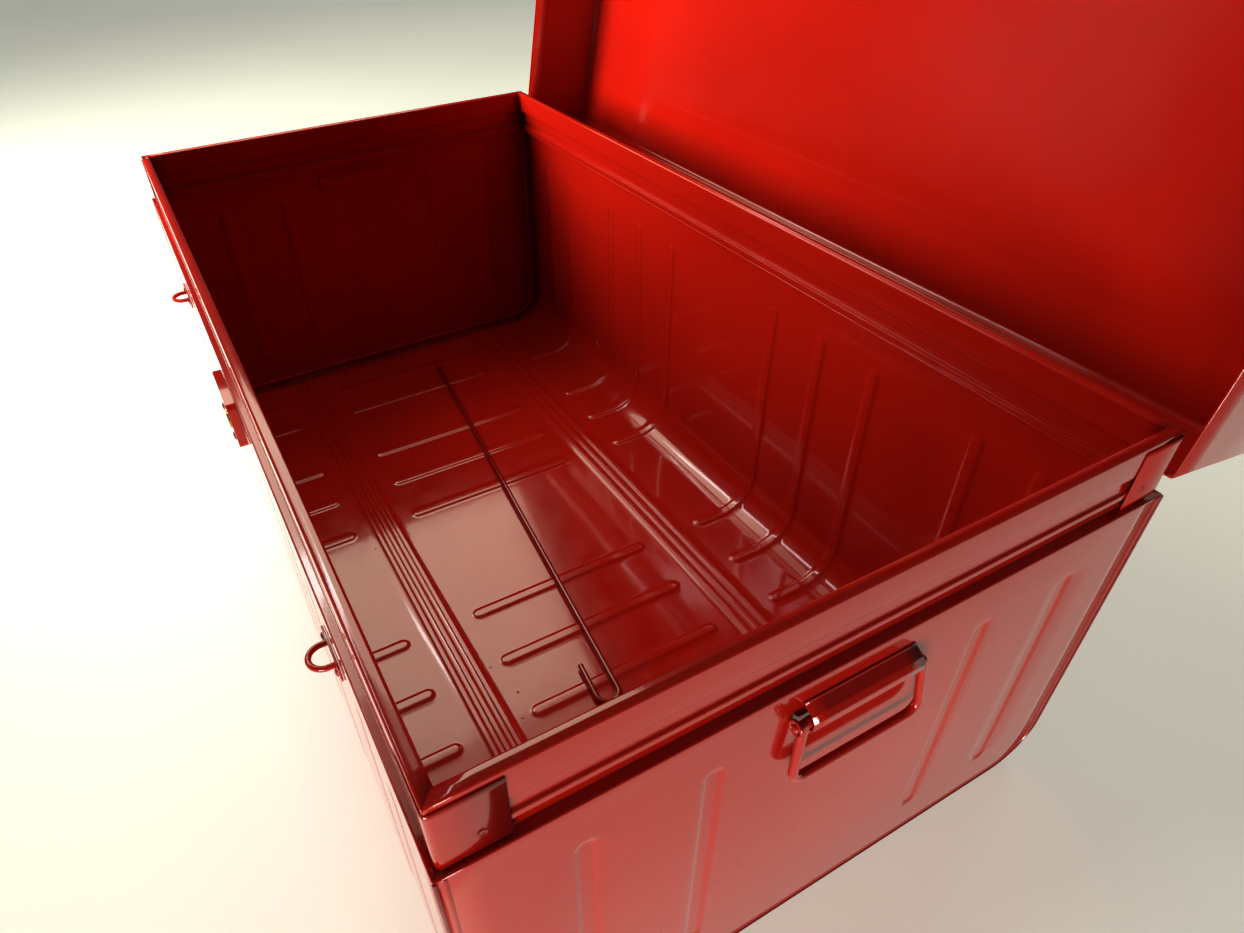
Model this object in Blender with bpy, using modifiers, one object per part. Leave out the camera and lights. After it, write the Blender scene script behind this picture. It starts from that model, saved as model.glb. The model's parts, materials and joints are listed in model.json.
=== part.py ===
"""Pressed-steel storage trunk with its lid open.

The trunk is a wrap (front, bottom and back in one sheet), two end panels, a rolled rim with corner
caps, and a deep lid on two rear hinges. It carries two drop handles, two padlock staples with their
hasps, a centre lock with its own hasp, and a loose hooked rod that lies on the floor.

Metres, +Z up, +X along the trunk, -Y towards its front. The origin is the middle of the underside.
Lid pieces are drawn as if the lid were closed, and hang on an empty that opens the lid.
"""

from math import cos, pi, radians, sin

import bmesh
import bpy
from mathutils import Matrix, Vector

# Driving dimensions
LENGTH = 0.900
WIDTH = 0.480
CLOSED_HEIGHT = 0.370
SHEET = 0.001
GAP = 0.0003
LEDGE_Z = 0.277
RIM_TOP = 0.3255
NECK_INSET = 0.006
HEM_INSET = 0.004
HEM_THICKNESS = 0.008
HEM_FOOT = 0.0265
INNER_BEAD_OUT = 0.0018
INNER_BEAD_TOP = 0.0055
OUTER_BEAD_OUT = 0.0012
OUTER_BEAD_Z = 0.012
OUTER_BEAD_HALF = 0.004
BOTTOM_RADIUS = 0.040
ARC_STEPS = 7
CUT_MARGIN = 0.010

LID_OPEN = radians(100)
LID_EDGE_BEVEL = 0.006
HINGE_Y = 0.245
HINGE_Z = 0.281
HINGE_X = 0.300
LEAF_THICKNESS = 0.0015
LEAF_WIDTH = 0.070
LEAF_DOWN = 0.034
LEAF_START = 0.006
LEAF_UP = 0.030
LEAF_RIVET_X = 0.022
LEAF_RIVET_DOWN = 0.022
LEAF_RIVET_UP = 0.024
HINGE_MIDDLE_SHARE = 0.4
HEEL_REACH = 0.012
KNUCKLE_R = 0.0032
PIN_R = 0.0015

RIB_WIDTH = 0.015
RIB_HEIGHT = 0.0015
RIB_CENTRES = (0.087, 0.1524, 0.2165, 0.324, 0.379)
END_RIB_CENTRES = (0.0955, 0.169)
RIB_LOW = 0.046
RIB_TOP = 0.244
FLOOR_RIB_HALF = 0.100
SIDE_RIB_START = 0.164
RIB_LEAN = 0.003

CAP_LEG = 0.035
CAP_SHEET = 0.0005

HANDLE_Z = 0.252
HANDLE_OUT = 0.0056
BARREL_R = 0.0052
BARREL_BORE_R = 0.0033
BARREL_START = -0.0425
BARREL_END = 0.0345
BARREL_FLANGE_UP = 0.008
BAIL_R = 0.0029
BAIL_HALF = 0.0455
BAIL_DROP = 0.049
BAIL_TIP = 0.012
BAIL_SHOULDER = 0.0035
BAIL_CORNER = 0.009
BAIL_LEAN = 0.002
BACKING_HALF = 0.049
BACKING_DOWN = 0.004
BACKING_UP = 0.010

RIVET_R = 0.0034
HASP_RIVET_R = 0.0028
STAPLE_RIVET_R = 0.0026
RIVET_HEIGHT = 0.0014
RIVET_TAPER = 0.6

STAPLE_X = 0.270
STAPLE_Z = 0.231
STAPLE_WIRE_R = 0.002
STAPLE_HALF = 0.0095
STAPLE_STRAIGHT = 0.0035
STAPLE_PLATE_X = 0.020
STAPLE_PLATE_Z = 0.0075
STAPLE_RIVET_X = 0.0155

HASP_AXIS_Z = 0.2735
HASP_AXIS_OUT = 0.0045
LOCK_AXIS_OUT = 0.009
HASP_KNUCKLE_R = 0.00275
HASP_WIDTH = 0.036
HASP_THICKNESS = 0.0015
HASP_REACH = 0.062
MOUNT_START = 0.0065
MOUNT_END = 0.030
ARM_HALF = 0.0012
STRAP_START = 0.0045
SLOT_HALF_X = 0.0135
SLOT_HALF_Z = 0.006
HASP_RIVET_X = 0.011
HASP_RIVET_UP = 0.020

LOCK_HALF_WIDTH = 0.032
LOCK_LOW = 0.229
LOCK_HIGH = 0.269
LOCK_DEPTH = 0.007
LOCK_WALL = 0.0012
LOCK_RIVET_X = 0.024
EYE_Z = 0.256
EYE_HALF_X = 0.003
EYE_HALF_Z = 0.0045
EYE_TIP_OUT = 0.0013
WINDOW_HALF_X = 0.005
WINDOW_HALF_Z = 0.0065
CYLINDER_Z = 0.239
CYLINDER_R = 0.005
KEY_HALF_X = 0.0006
KEY_HALF_Z = 0.003
BOLT_R = 0.0017
BOLT_OUT = 0.0044
BOLT_START = 0.0062
BOLT_END = 0.0175

ROD_R = 0.00275
ROD_START = (-0.349, 0.040)
ROD_END = (0.234, -0.0215)
ROD_TAIL = 0.015
HOOK_R = 0.0105
HOOK_LEG = 0.036

RED = (0.43, 0.012, 0.008, 1)
DARK_RED = (0.30, 0.010, 0.008, 1)
STEEL = (0.62, 0.60, 0.58, 1)
BRASS = (0.62, 0.43, 0.17, 1)

HALF_L = LENGTH / 2
HALF_W = WIDTH / 2
MID = SHEET / 2
PLATE_IN = GAP
PLATE_OUT = GAP + LEAF_THICKNESS


def clear_scene():
    for obj in list(bpy.data.objects):
        bpy.data.objects.remove(obj, do_unlink=True)


def make_collection(name):
    made = bpy.data.collections.new(name)
    bpy.context.scene.collection.children.link(made)
    return made


clear_scene()
PARTS = make_collection("storage_trunk")
CUTTERS = make_collection("cutters")


def make_material(name, colour, roughness, metallic):
    made = bpy.data.materials.new(name)
    made.use_nodes = True
    shader = made.node_tree.nodes["Principled BSDF"]
    shader.inputs["Base Color"].default_value = colour
    shader.inputs["Roughness"].default_value = roughness
    shader.inputs["Metallic"].default_value = metallic
    return made


FINISHES = {
    "red_enamel": (RED, 0.18, 0.0),
    "dark_red_enamel": (DARK_RED, 0.22, 0.0),
    "plated_steel": (STEEL, 0.25, 1.0),
    "brass": (BRASS, 0.28, 1.0),
}


# Raw shapes, drawn in the trunk's own frame

def box_mesh(low, high):
    bm = bmesh.new()
    centre = [(a + b) / 2 for a, b in zip(low, high)]
    size = [b - a for a, b in zip(low, high)]
    place = Matrix.Translation(centre) @ Matrix.Diagonal((*size, 1))
    bmesh.ops.create_cube(bm, size=1, matrix=place)
    return bm


def cone_mesh(start, end, r_start, r_end, segments=16):
    bm = bmesh.new()
    start, end = Vector(start), Vector(end)
    along = end - start
    turn = along.to_track_quat("Z", "X").to_matrix().to_4x4()
    place = Matrix.Translation((start + end) / 2) @ turn
    bmesh.ops.create_cone(
        bm, cap_ends=True, segments=segments, radius1=r_start, radius2=r_end,
        depth=along.length, matrix=place)
    return bm


def prism_mesh(outline, axis, low, high):
    """A closed outline of (u, v) points, swept along axis 0, 1 or 2 from low to high."""
    bm = bmesh.new()
    others = [i for i in range(3) if i != axis]
    loops = []
    for level in (low, high):
        loop = []
        for u, v in outline:
            point = [0, 0, 0]
            point[axis], point[others[0]], point[others[1]] = level, u, v
            loop.append(bm.verts.new(point))
        loops.append(loop)
    bottom = bm.faces.new(loops[0])
    top = bm.faces.new(loops[1])
    bmesh.ops.bridge_loops(bm, edges=list(bottom.edges) + list(top.edges))
    bmesh.ops.recalc_face_normals(bm, faces=bm.faces)
    return bm


def sheet_mesh(path, axis, low, high):
    """An open sheet: a path of (u, v) points swept along an axis. Solidify gives it thickness."""
    bm = bmesh.new()
    others = [i for i in range(3) if i != axis]
    rows = []
    for level in (low, high):
        row = []
        for u, v in path:
            point = [0, 0, 0]
            point[axis], point[others[0]], point[others[1]] = level, u, v
            row.append(bm.verts.new(point))
        rows.append(row)
    for i in range(len(path) - 1):
        bm.faces.new((rows[0][i], rows[0][i + 1], rows[1][i + 1], rows[1][i]))
    return bm


def add_object(name, bm, origin, finish, parent):
    """One named piece. Its shape comes in the trunk's frame and is moved to its own origin."""
    origin = Vector(origin)
    bmesh.ops.translate(bm, verts=bm.verts, vec=-origin)
    mesh = bpy.data.meshes.new(name)
    bm.to_mesh(mesh)
    bm.free()
    obj = bpy.data.objects.new(name, mesh)
    obj.location = origin
    if parent is not None:
        obj.parent = parent
        obj.location = origin - Vector(parent["drawn_at"])
    if finish is None:
        obj.hide_render = True
        obj.display_type = "WIRE"
        CUTTERS.objects.link(obj)
    else:
        mesh.materials.append(make_material(name, *FINISHES[finish]))
        PARTS.objects.link(obj)
    return obj


def piece(name, bm, finish, origin=(0, 0, 0), parent=None):
    return add_object(name, bm, origin, finish, parent)


def combine(target, bm, operation):
    """Joins or cuts the target with a hidden shape that moves with it."""
    parent = target.parent
    tool = add_object(target.name + "_tool", bm, (0, 0, 0), None, parent)
    step = target.modifiers.new(operation.lower(), "BOOLEAN")
    step.operation = operation
    step.solver = "EXACT"
    step.object = tool


def unite(target, *shapes):
    for bm in shapes:
        combine(target, bm, "UNION")


def cut(target, *shapes):
    for bm in shapes:
        combine(target, bm, "DIFFERENCE")


def thicken(obj, thickness=SHEET, offset=0):
    step = obj.modifiers.new("sheet", "SOLIDIFY")
    step.thickness = thickness
    step.offset = offset
    step.use_even_offset = True


def soften(obj, width, segments=2):
    step = obj.modifiers.new("edges", "BEVEL")
    step.width = width
    step.segments = segments
    step.limit_method = "ANGLE"


def wire(name, points, radius, finish, origin=(0, 0, 0), parent=None):
    """A round wire along a list of points, as a closed tube."""
    curve = bpy.data.curves.new(name, "CURVE")
    curve.dimensions = "3D"
    curve.bevel_depth = radius
    curve.bevel_resolution = 2
    curve.use_fill_caps = True
    spline = curve.splines.new("POLY")
    spline.points.add(len(points) - 1)
    for slot, point in zip(spline.points, points):
        slot.co = (*(Vector(point) - Vector(origin)), 1)
    curve.materials.append(make_material(name, *FINISHES[finish]))
    obj = bpy.data.objects.new(name, curve)
    obj.location = origin
    if parent is not None:
        obj.parent = parent
        obj.location = Vector(origin) - Vector(parent["drawn_at"])
    PARTS.objects.link(obj)
    return obj


def arc(centre, radius, start, end, steps):
    """Points on an arc in a plane, angles in radians, both ends included."""
    turns = [start + (end - start) * i / steps for i in range(steps + 1)]
    return [(centre[0] + radius * cos(a), centre[1] + radius * sin(a)) for a in turns]


# Sheet sections, as (inset from the outer face, height)

def rim_section():
    """Ledge, inward bead, neck with its outward bead, and rolled hem, from the wall upwards."""
    neck = NECK_INSET + MID
    hem_out = HEM_INSET + MID
    hem_in = HEM_INSET + HEM_THICKNESS - MID
    roll_r = (hem_in - hem_out) / 2
    roll_z = RIM_TOP - MID - roll_r
    roll = arc(((hem_out + hem_in) / 2, roll_z), roll_r, pi, 0, 5)
    bead_in = neck + INNER_BEAD_OUT
    return [
        (MID, LEDGE_Z - MID),
        (bead_in, LEDGE_Z - MID),
        (bead_in, LEDGE_Z + INNER_BEAD_TOP),
        (neck, LEDGE_Z + INNER_BEAD_TOP + INNER_BEAD_OUT),
        (neck, LEDGE_Z + OUTER_BEAD_Z - OUTER_BEAD_HALF),
        (neck - OUTER_BEAD_OUT, LEDGE_Z + OUTER_BEAD_Z),
        (neck, LEDGE_Z + OUTER_BEAD_Z + OUTER_BEAD_HALF),
        (neck, LEDGE_Z + HEM_FOOT - (neck - hem_out)),
        (hem_out, LEDGE_Z + HEM_FOOT),
        *roll,
        (hem_in, LEDGE_Z + HEM_FOOT),
        (hem_in - 2 * (neck - hem_out) + MID, LEDGE_Z + HEM_FOOT - MID),
    ]


def wrap_section():
    """The whole (y, z) path from the front hem round the bottom to the back hem."""
    back = [(HALF_W - inset, z) for inset, z in rim_section()]
    r = BOTTOM_RADIUS - MID
    bend = arc((HALF_W - BOTTOM_RADIUS, BOTTOM_RADIUS), r, -pi / 2, 0, ARC_STEPS)
    half = bend + back
    front = [(-y, z) for y, z in reversed(half)]
    return front + half


def end_outline():
    """Outline of an end panel: square at the top, rounded at the bottom corners."""
    r = BOTTOM_RADIUS
    right = arc((HALF_W - r, r), r, -pi / 2, 0, ARC_STEPS)
    left = arc((-HALF_W + r, r), r, pi, 1.5 * pi, ARC_STEPS)
    top = RIM_TOP + 0.01
    return right + [(HALF_W, top), (-HALF_W, top)] + left


def mitre_wedge(side_x, side_y, keeps_wrap):
    """Removes the other side of a rim corner's 45 degree joint."""
    off = GAP if keeps_wrap else -GAP
    reach = 0.06
    inner = (HALF_L - reach - off / 2, HALF_W - reach + off / 2)
    outer = (HALF_L + 0.01 - off / 2, HALF_W + 0.01 + off / 2)
    third = (outer[0] + 0.02, inner[1]) if keeps_wrap else (inner[0], outer[1] + 0.02)
    outline = [(side_x * x, side_y * y) for x, y in (inner, outer, third)]
    return prism_mesh(outline, 2, LEDGE_Z - SHEET - GAP, RIM_TOP + 0.02)


def rib(low, high, base_axis, out_sign, base):
    """A long low ridge on a sheet's inner face, as a box whose top is drawn in."""
    bm = box_mesh(low, high)
    centre = [(a + b) / 2 for a, b in zip(low, high)]
    for vert in bm.verts:
        if (vert.co[base_axis] - base) * out_sign > RIB_HEIGHT / 2:
            for i in range(3):
                if i != base_axis:
                    vert.co[i] += RIB_LEAN if vert.co[i] < centre[i] else -RIB_LEAN
    return bm


def floor_rib(x_low, x_high, y_low, y_high):
    low = (x_low, y_low, MID)
    high = (x_high, y_high, SHEET + RIB_HEIGHT)
    return rib(low, high, 2, 1, SHEET)


def side_rib(x, side):
    inner = HALF_W - SHEET - RIB_HEIGHT
    faces = sorted((side * inner, side * (HALF_W - MID)))
    low = (x - RIB_WIDTH / 2, faces[0], RIB_LOW)
    high = (x + RIB_WIDTH / 2, faces[1], RIB_TOP)
    return rib(low, high, 1, -side, side * (HALF_W - SHEET))


def end_rib(side, y):
    inner = HALF_L - SHEET - RIB_HEIGHT
    faces = sorted((side * inner, side * (HALF_L - MID)))
    low = (faces[0], y - RIB_WIDTH / 2, RIB_LOW)
    high = (faces[1], y + RIB_WIDTH / 2, RIB_TOP)
    return rib(low, high, 0, -side, side * (HALF_L - SHEET))


def both_signs(values):
    return [sign * value for value in values for sign in (-1, 1)]


# The trunk's body

def make_wrap():
    wrap = piece("body_wrap", sheet_mesh(wrap_section(), 0, -HALF_L, HALF_L), "red_enamel")
    thicken(wrap)
    for side in (-1, 1):
        ends = sorted((side * (HALF_L - SHEET - GAP), side * (HALF_L + 0.01)))
        low = (ends[0], -HALF_W - 0.01, -0.01)
        high = (ends[1], HALF_W + 0.01, LEDGE_Z - SHEET - GAP)
        cut(wrap, box_mesh(low, high))
        for front in (-1, 1):
            cut(wrap, mitre_wedge(side, front, True))
    for x in both_signs(RIB_CENTRES):
        x_low, x_high = x - RIB_WIDTH / 2, x + RIB_WIDTH / 2
        unite(wrap, floor_rib(x_low, x_high, -FLOOR_RIB_HALF, FLOOR_RIB_HALF))
        for side in (-1, 1):
            y_ends = sorted((side * SIDE_RIB_START, side * (HALF_W - BOTTOM_RADIUS)))
            unite(wrap, floor_rib(x_low, x_high, *y_ends), side_rib(x, side))


def make_end_panel(name, side):
    path = [(side * (HALF_L - inset), z) for inset, z in [(MID, 0), *rim_section()]]
    panel = piece(name, sheet_mesh(path, 1, -HALF_W, HALF_W), "red_enamel")
    thicken(panel)
    trim = panel.modifiers.new("outline", "BOOLEAN")
    trim.operation = "INTERSECT"
    trim.solver = "EXACT"
    ends = sorted((side * (HALF_L - 0.03), side * (HALF_L + 0.01)))
    outline = add_object(name + "_outline", prism_mesh(end_outline(), 0, *ends), (0, 0, 0), None, None)
    trim.object = outline
    for front in (-1, 1):
        cut(panel, mitre_wedge(side, front, False))
    for y in both_signs(END_RIB_CENTRES):
        unite(panel, end_rib(side, y))


def make_corner_cap(name, side_x, side_y):
    """A thin bent strip round the outside of a rim corner, over the neck groove."""
    face = HEM_INSET - GAP - CAP_SHEET / 2
    x, y = HALF_L - face, HALF_W - face
    bend_r = 0.0015
    bend = arc((x - bend_r, y - bend_r), bend_r, 0, pi / 2, 3)
    path = [(x, y - CAP_LEG), *bend, (x - CAP_LEG, y)]
    path = [(side_x * px, side_y * py) for px, py in path]
    cap = piece(name, sheet_mesh(path, 2, LEDGE_Z + 0.0008, RIM_TOP - 0.004), "red_enamel")
    thicken(cap, CAP_SHEET)


# Handles

def make_handle(tag, side):
    axis_x = side * (HALF_L + HANDLE_OUT)
    ends = (axis_x, BARREL_START, HANDLE_Z), (axis_x, BARREL_END, HANDLE_Z)
    barrel = piece("handle_barrel_" + tag, cone_mesh(*ends, BARREL_R, BARREL_R, 20), "red_enamel")
    flange = sorted((side * (HALF_L + GAP), side * (HALF_L + GAP + SHEET)))
    flange_low = (flange[0], BARREL_START, HANDLE_Z)
    flange_high = (flange[1], BARREL_END, HANDLE_Z + BARREL_FLANGE_UP)
    unite(barrel, box_mesh(flange_low, flange_high))
    bore_start = (axis_x, BARREL_START - CUT_MARGIN, HANDLE_Z)
    bore_end = (axis_x, BARREL_END + CUT_MARGIN, HANDLE_Z)
    bore = bore_start, bore_end
    cut(barrel, cone_mesh(*bore, BARREL_BORE_R, BARREL_BORE_R, 16))

    bottom = HANDLE_Z - BAIL_DROP
    shoulder = (-BAIL_HALF + BAIL_SHOULDER, HANDLE_Z - BAIL_SHOULDER)
    corner = (-BAIL_HALF + BAIL_CORNER, bottom + BAIL_CORNER)
    flat = [(-BAIL_TIP, HANDLE_Z)]
    flat += arc(shoulder, BAIL_SHOULDER, pi / 2, pi, 3)
    flat += arc(corner, BAIL_CORNER, pi, 1.5 * pi, 5)
    flat += [(-y, z) for y, z in reversed(flat)]
    leans = [BAIL_LEAN * (HANDLE_Z - z) / BAIL_DROP for _, z in flat]
    points = [(axis_x + side * out, y, z) for (y, z), out in zip(flat, leans)]
    wire("handle_bail_" + tag, points, BAIL_R, "red_enamel", (axis_x, 0, HANDLE_Z))

    inner = HALF_L - SHEET - GAP
    faces = sorted((side * inner, side * (inner - SHEET)))
    low = (faces[0], -BACKING_HALF, HANDLE_Z - BACKING_DOWN)
    high = (faces[1], BACKING_HALF, HANDLE_Z + BACKING_UP)
    piece("handle_backing_" + tag, box_mesh(low, high), "red_enamel")


# Fasteners

def rivet(name, point, direction, parent=None, radius=RIVET_R):
    """A low rivet head that sits on a face, pointing out of it."""
    start = Vector(point) + Vector(direction) * GAP
    end = start + Vector(direction) * RIVET_HEIGHT
    piece(name, cone_mesh(start, end, radius, radius * RIVET_TAPER, 12), "dark_red_enamel", point, parent)


# Hinges

def hinge_block(x_low, x_high, z_low, z_high):
    low = (x_low, HALF_W + PLATE_IN, z_low)
    high = (x_high, HINGE_Y, z_high)
    return box_mesh(low, high)


def hinge_knuckle(x_low, x_high):
    ends = (x_low, HINGE_Y, HINGE_Z), (x_high, HINGE_Y, HINGE_Z)
    return cone_mesh(*ends, KNUCKLE_R, KNUCKLE_R, 16)


def hinge_bore(x):
    reach = LEAF_WIDTH
    ends = (x - reach, HINGE_Y, HINGE_Z), (x + reach, HINGE_Y, HINGE_Z)
    return cone_mesh(*ends, PIN_R + GAP, PIN_R + GAP, 12)


def make_hinge(tag, x, lid):
    half = LEAF_WIDTH / 2
    middle = half * HINGE_MIDDLE_SHARE
    y_in, y_out = HALF_W + PLATE_IN, HALF_W + PLATE_OUT
    low = (x - half, y_in, LEDGE_Z - LEAF_DOWN)
    lower = piece("hinge_lower_leaf_" + tag, box_mesh(low, (x + half, y_out, LEDGE_Z)), "red_enamel")
    for x_low, x_high in ((x - half, x - middle), (x + middle, x + half)):
        block = hinge_block(x_low, x_high, HINGE_Z - 0.005, HINGE_Z)
        unite(lower, block, hinge_knuckle(x_low, x_high))
    cut(lower, hinge_bore(x))

    tight = middle - GAP
    low = (x - half, y_in, HINGE_Z + LEAF_START)
    high = (x + half, y_out, HINGE_Z + LEAF_START + LEAF_UP)
    upper = piece(
        "hinge_upper_leaf_" + tag, box_mesh(low, high), "red_enamel", (x, HINGE_Y, HINGE_Z), lid)
    block = hinge_block(x - tight, x + tight, HINGE_Z, HINGE_Z + LEAF_START + GAP)
    unite(upper, block, hinge_knuckle(x - tight, x + tight))
    low = (x - tight, HALF_W + PLATE_OUT + GAP, HINGE_Z - HEEL_REACH)
    heel = box_mesh(low, (x + tight, HINGE_Y, HINGE_Z))
    about = Matrix.Translation((0, HINGE_Y, HINGE_Z))
    turn = about @ Matrix.Rotation(LID_OPEN, 4, "X") @ about.inverted()
    bmesh.ops.transform(heel, matrix=turn, verts=heel.verts)
    unite(upper, heel)
    cut(upper, hinge_bore(x))

    ends = (x - half, HINGE_Y, HINGE_Z), (x + half, HINGE_Y, HINGE_Z)
    piece("hinge_pin_" + tag, cone_mesh(*ends, PIN_R, PIN_R, 12), "plated_steel")
    low_z, high_z = LEDGE_Z - LEAF_RIVET_DOWN, HINGE_Z + LEAF_RIVET_UP
    for number, dx in enumerate((-LEAF_RIVET_X, LEAF_RIVET_X), 1):
        rivet(f"hinge_rivet_lower_{tag}_{number}", (x + dx, y_out, low_z), (0, 1, 0))
        rivet(f"hinge_rivet_upper_{tag}_{number}", (x + dx, y_out, high_z), (0, 1, 0), lid)


# Lid

def make_lid(lid):
    low = (-HALF_L, -HALF_W, LEDGE_Z + GAP)
    high = (HALF_L, HALF_W, CLOSED_HEIGHT)
    bm = box_mesh(low, high)
    bottom = min(bm.faces, key=lambda f: f.calc_center_median().z)
    bmesh.ops.delete(bm, geom=[bottom], context="FACES_ONLY")
    top_edges = [e for e in bm.edges if all(v.co.z > high[2] - MID for v in e.verts)]
    bmesh.ops.bevel(bm, geom=top_edges, offset=LID_EDGE_BEVEL, segments=3, profile=0.5, affect="EDGES")
    shell = piece("lid_shell", bm, "red_enamel", (0, HINGE_Y, HINGE_Z), lid)
    thicken(shell, SHEET, -1)


# Hasps. They are drawn folded back on the lid, pointing up from their pivots.

def hasp_knuckle(x_low, x_high, axis_y):
    ends = (x_low, axis_y, HASP_AXIS_Z), (x_high, axis_y, HASP_AXIS_Z)
    return cone_mesh(*ends, HASP_KNUCKLE_R, HASP_KNUCKLE_R, 14)


def hasp_bore(x, axis_y):
    reach = HASP_WIDTH
    ends = (x - reach, axis_y, HASP_AXIS_Z), (x + reach, axis_y, HASP_AXIS_Z)
    return cone_mesh(*ends, PIN_R + GAP, PIN_R + GAP, 12)


def hasp_mount(name, x, axis_out, lid):
    """The plate riveted to the lid's front, with two knuckles below the lid's edge."""
    half = HASP_WIDTH / 2
    middle = half / 2
    axis_y = -HALF_W - axis_out
    y_out, y_in = -HALF_W - PLATE_OUT, -HALF_W - PLATE_IN
    low = (x - half, y_out, HASP_AXIS_Z + MOUNT_START)
    high = (x + half, y_in, HASP_AXIS_Z + MOUNT_END)
    mount = piece(name, box_mesh(low, high), "red_enamel", (0, 0, 0), lid)
    for x_low, x_high in ((x - half, x - middle), (x + middle, x + half)):
        tab_high = (x_high, y_in, HASP_AXIS_Z + MOUNT_START + GAP)
        arm_low = (x_low, axis_y, HASP_AXIS_Z - ARM_HALF)
        arm_high = (x_high, y_in, HASP_AXIS_Z + ARM_HALF)
        tab = box_mesh((x_low, y_out, HASP_AXIS_Z), tab_high)
        unite(mount, tab, box_mesh(arm_low, arm_high), hasp_knuckle(x_low, x_high, axis_y))
    cut(mount, hasp_bore(x, axis_y))
    ends = (x - half, axis_y, HASP_AXIS_Z), (x + half, axis_y, HASP_AXIS_Z)
    pin_name, rivet_name = name.replace("mount", "pin"), name.replace("mount", "rivet")
    piece(pin_name, cone_mesh(*ends, PIN_R, PIN_R, 12), "plated_steel", (0, 0, 0), lid)
    rivet_z = HASP_AXIS_Z + HASP_RIVET_UP
    for number, dx in enumerate((-HASP_RIVET_X, HASP_RIVET_X), 1):
        rivet(f"{rivet_name}_{number}", (x + dx, y_out, rivet_z), (0, -1, 0), lid, HASP_RIVET_R)


def hasp_strap(name, x, axis_out, reach, lid):
    """A flat strap on a middle knuckle, with its origin on the pivot."""
    half = HASP_WIDTH / 2
    middle = half / 2 - GAP
    axis_y = -HALF_W - axis_out
    y_low, y_high = axis_y - HASP_THICKNESS / 2, axis_y + HASP_THICKNESS / 2
    low = (x - half, y_low, HASP_AXIS_Z + STRAP_START)
    high = (x + half, y_high, HASP_AXIS_Z + reach)
    strap = piece(name, box_mesh(low, high), "red_enamel", (x, axis_y, HASP_AXIS_Z), lid)
    tongue_high = (x + middle, y_high, HASP_AXIS_Z + STRAP_START + 0.0005)
    tongue = box_mesh((x - middle, y_low, HASP_AXIS_Z), tongue_high)
    unite(strap, tongue, hasp_knuckle(x - middle, x + middle, axis_y))
    cut(strap, hasp_bore(x, axis_y))
    return strap


def make_side_hasp(tag, x, lid):
    hasp_mount("hasp_mount_" + tag, x, HASP_AXIS_OUT, lid)
    strap = hasp_strap("hasp_strap_" + tag, x, HASP_AXIS_OUT, HASP_REACH, lid)
    slot_z = 2 * HASP_AXIS_Z - STAPLE_Z
    low = (x - SLOT_HALF_X, -HALF_W - HASP_AXIS_OUT - CUT_MARGIN, slot_z - SLOT_HALF_Z)
    cut(strap, box_mesh(low, (x + SLOT_HALF_X, -HALF_W, slot_z + SLOT_HALF_Z)))


def make_staple(tag, x):
    face = -HALF_W
    low = (x - STAPLE_PLATE_X, face - PLATE_OUT, STAPLE_Z - STAPLE_PLATE_Z)
    high = (x + STAPLE_PLATE_X, face - PLATE_IN, STAPLE_Z + STAPLE_PLATE_Z)
    piece("staple_plate_" + tag, box_mesh(low, high), "red_enamel")
    start_y = face - PLATE_OUT - GAP
    bow = arc((x, start_y - STAPLE_STRAIGHT), STAPLE_HALF, pi, 2 * pi, 10)
    loop = [(x - STAPLE_HALF, start_y), *bow, (x + STAPLE_HALF, start_y)]
    points = [(px, py, STAPLE_Z) for px, py in loop]
    wire("staple_loop_" + tag, points, STAPLE_WIRE_R, "red_enamel")
    for number, dx in enumerate((-STAPLE_RIVET_X, STAPLE_RIVET_X), 1):
        head = (x + dx, face - PLATE_OUT, STAPLE_Z)
        rivet(f"staple_rivet_{tag}_{number}", head, (0, -1, 0), None, STAPLE_RIVET_R)


# Centre lock

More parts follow.
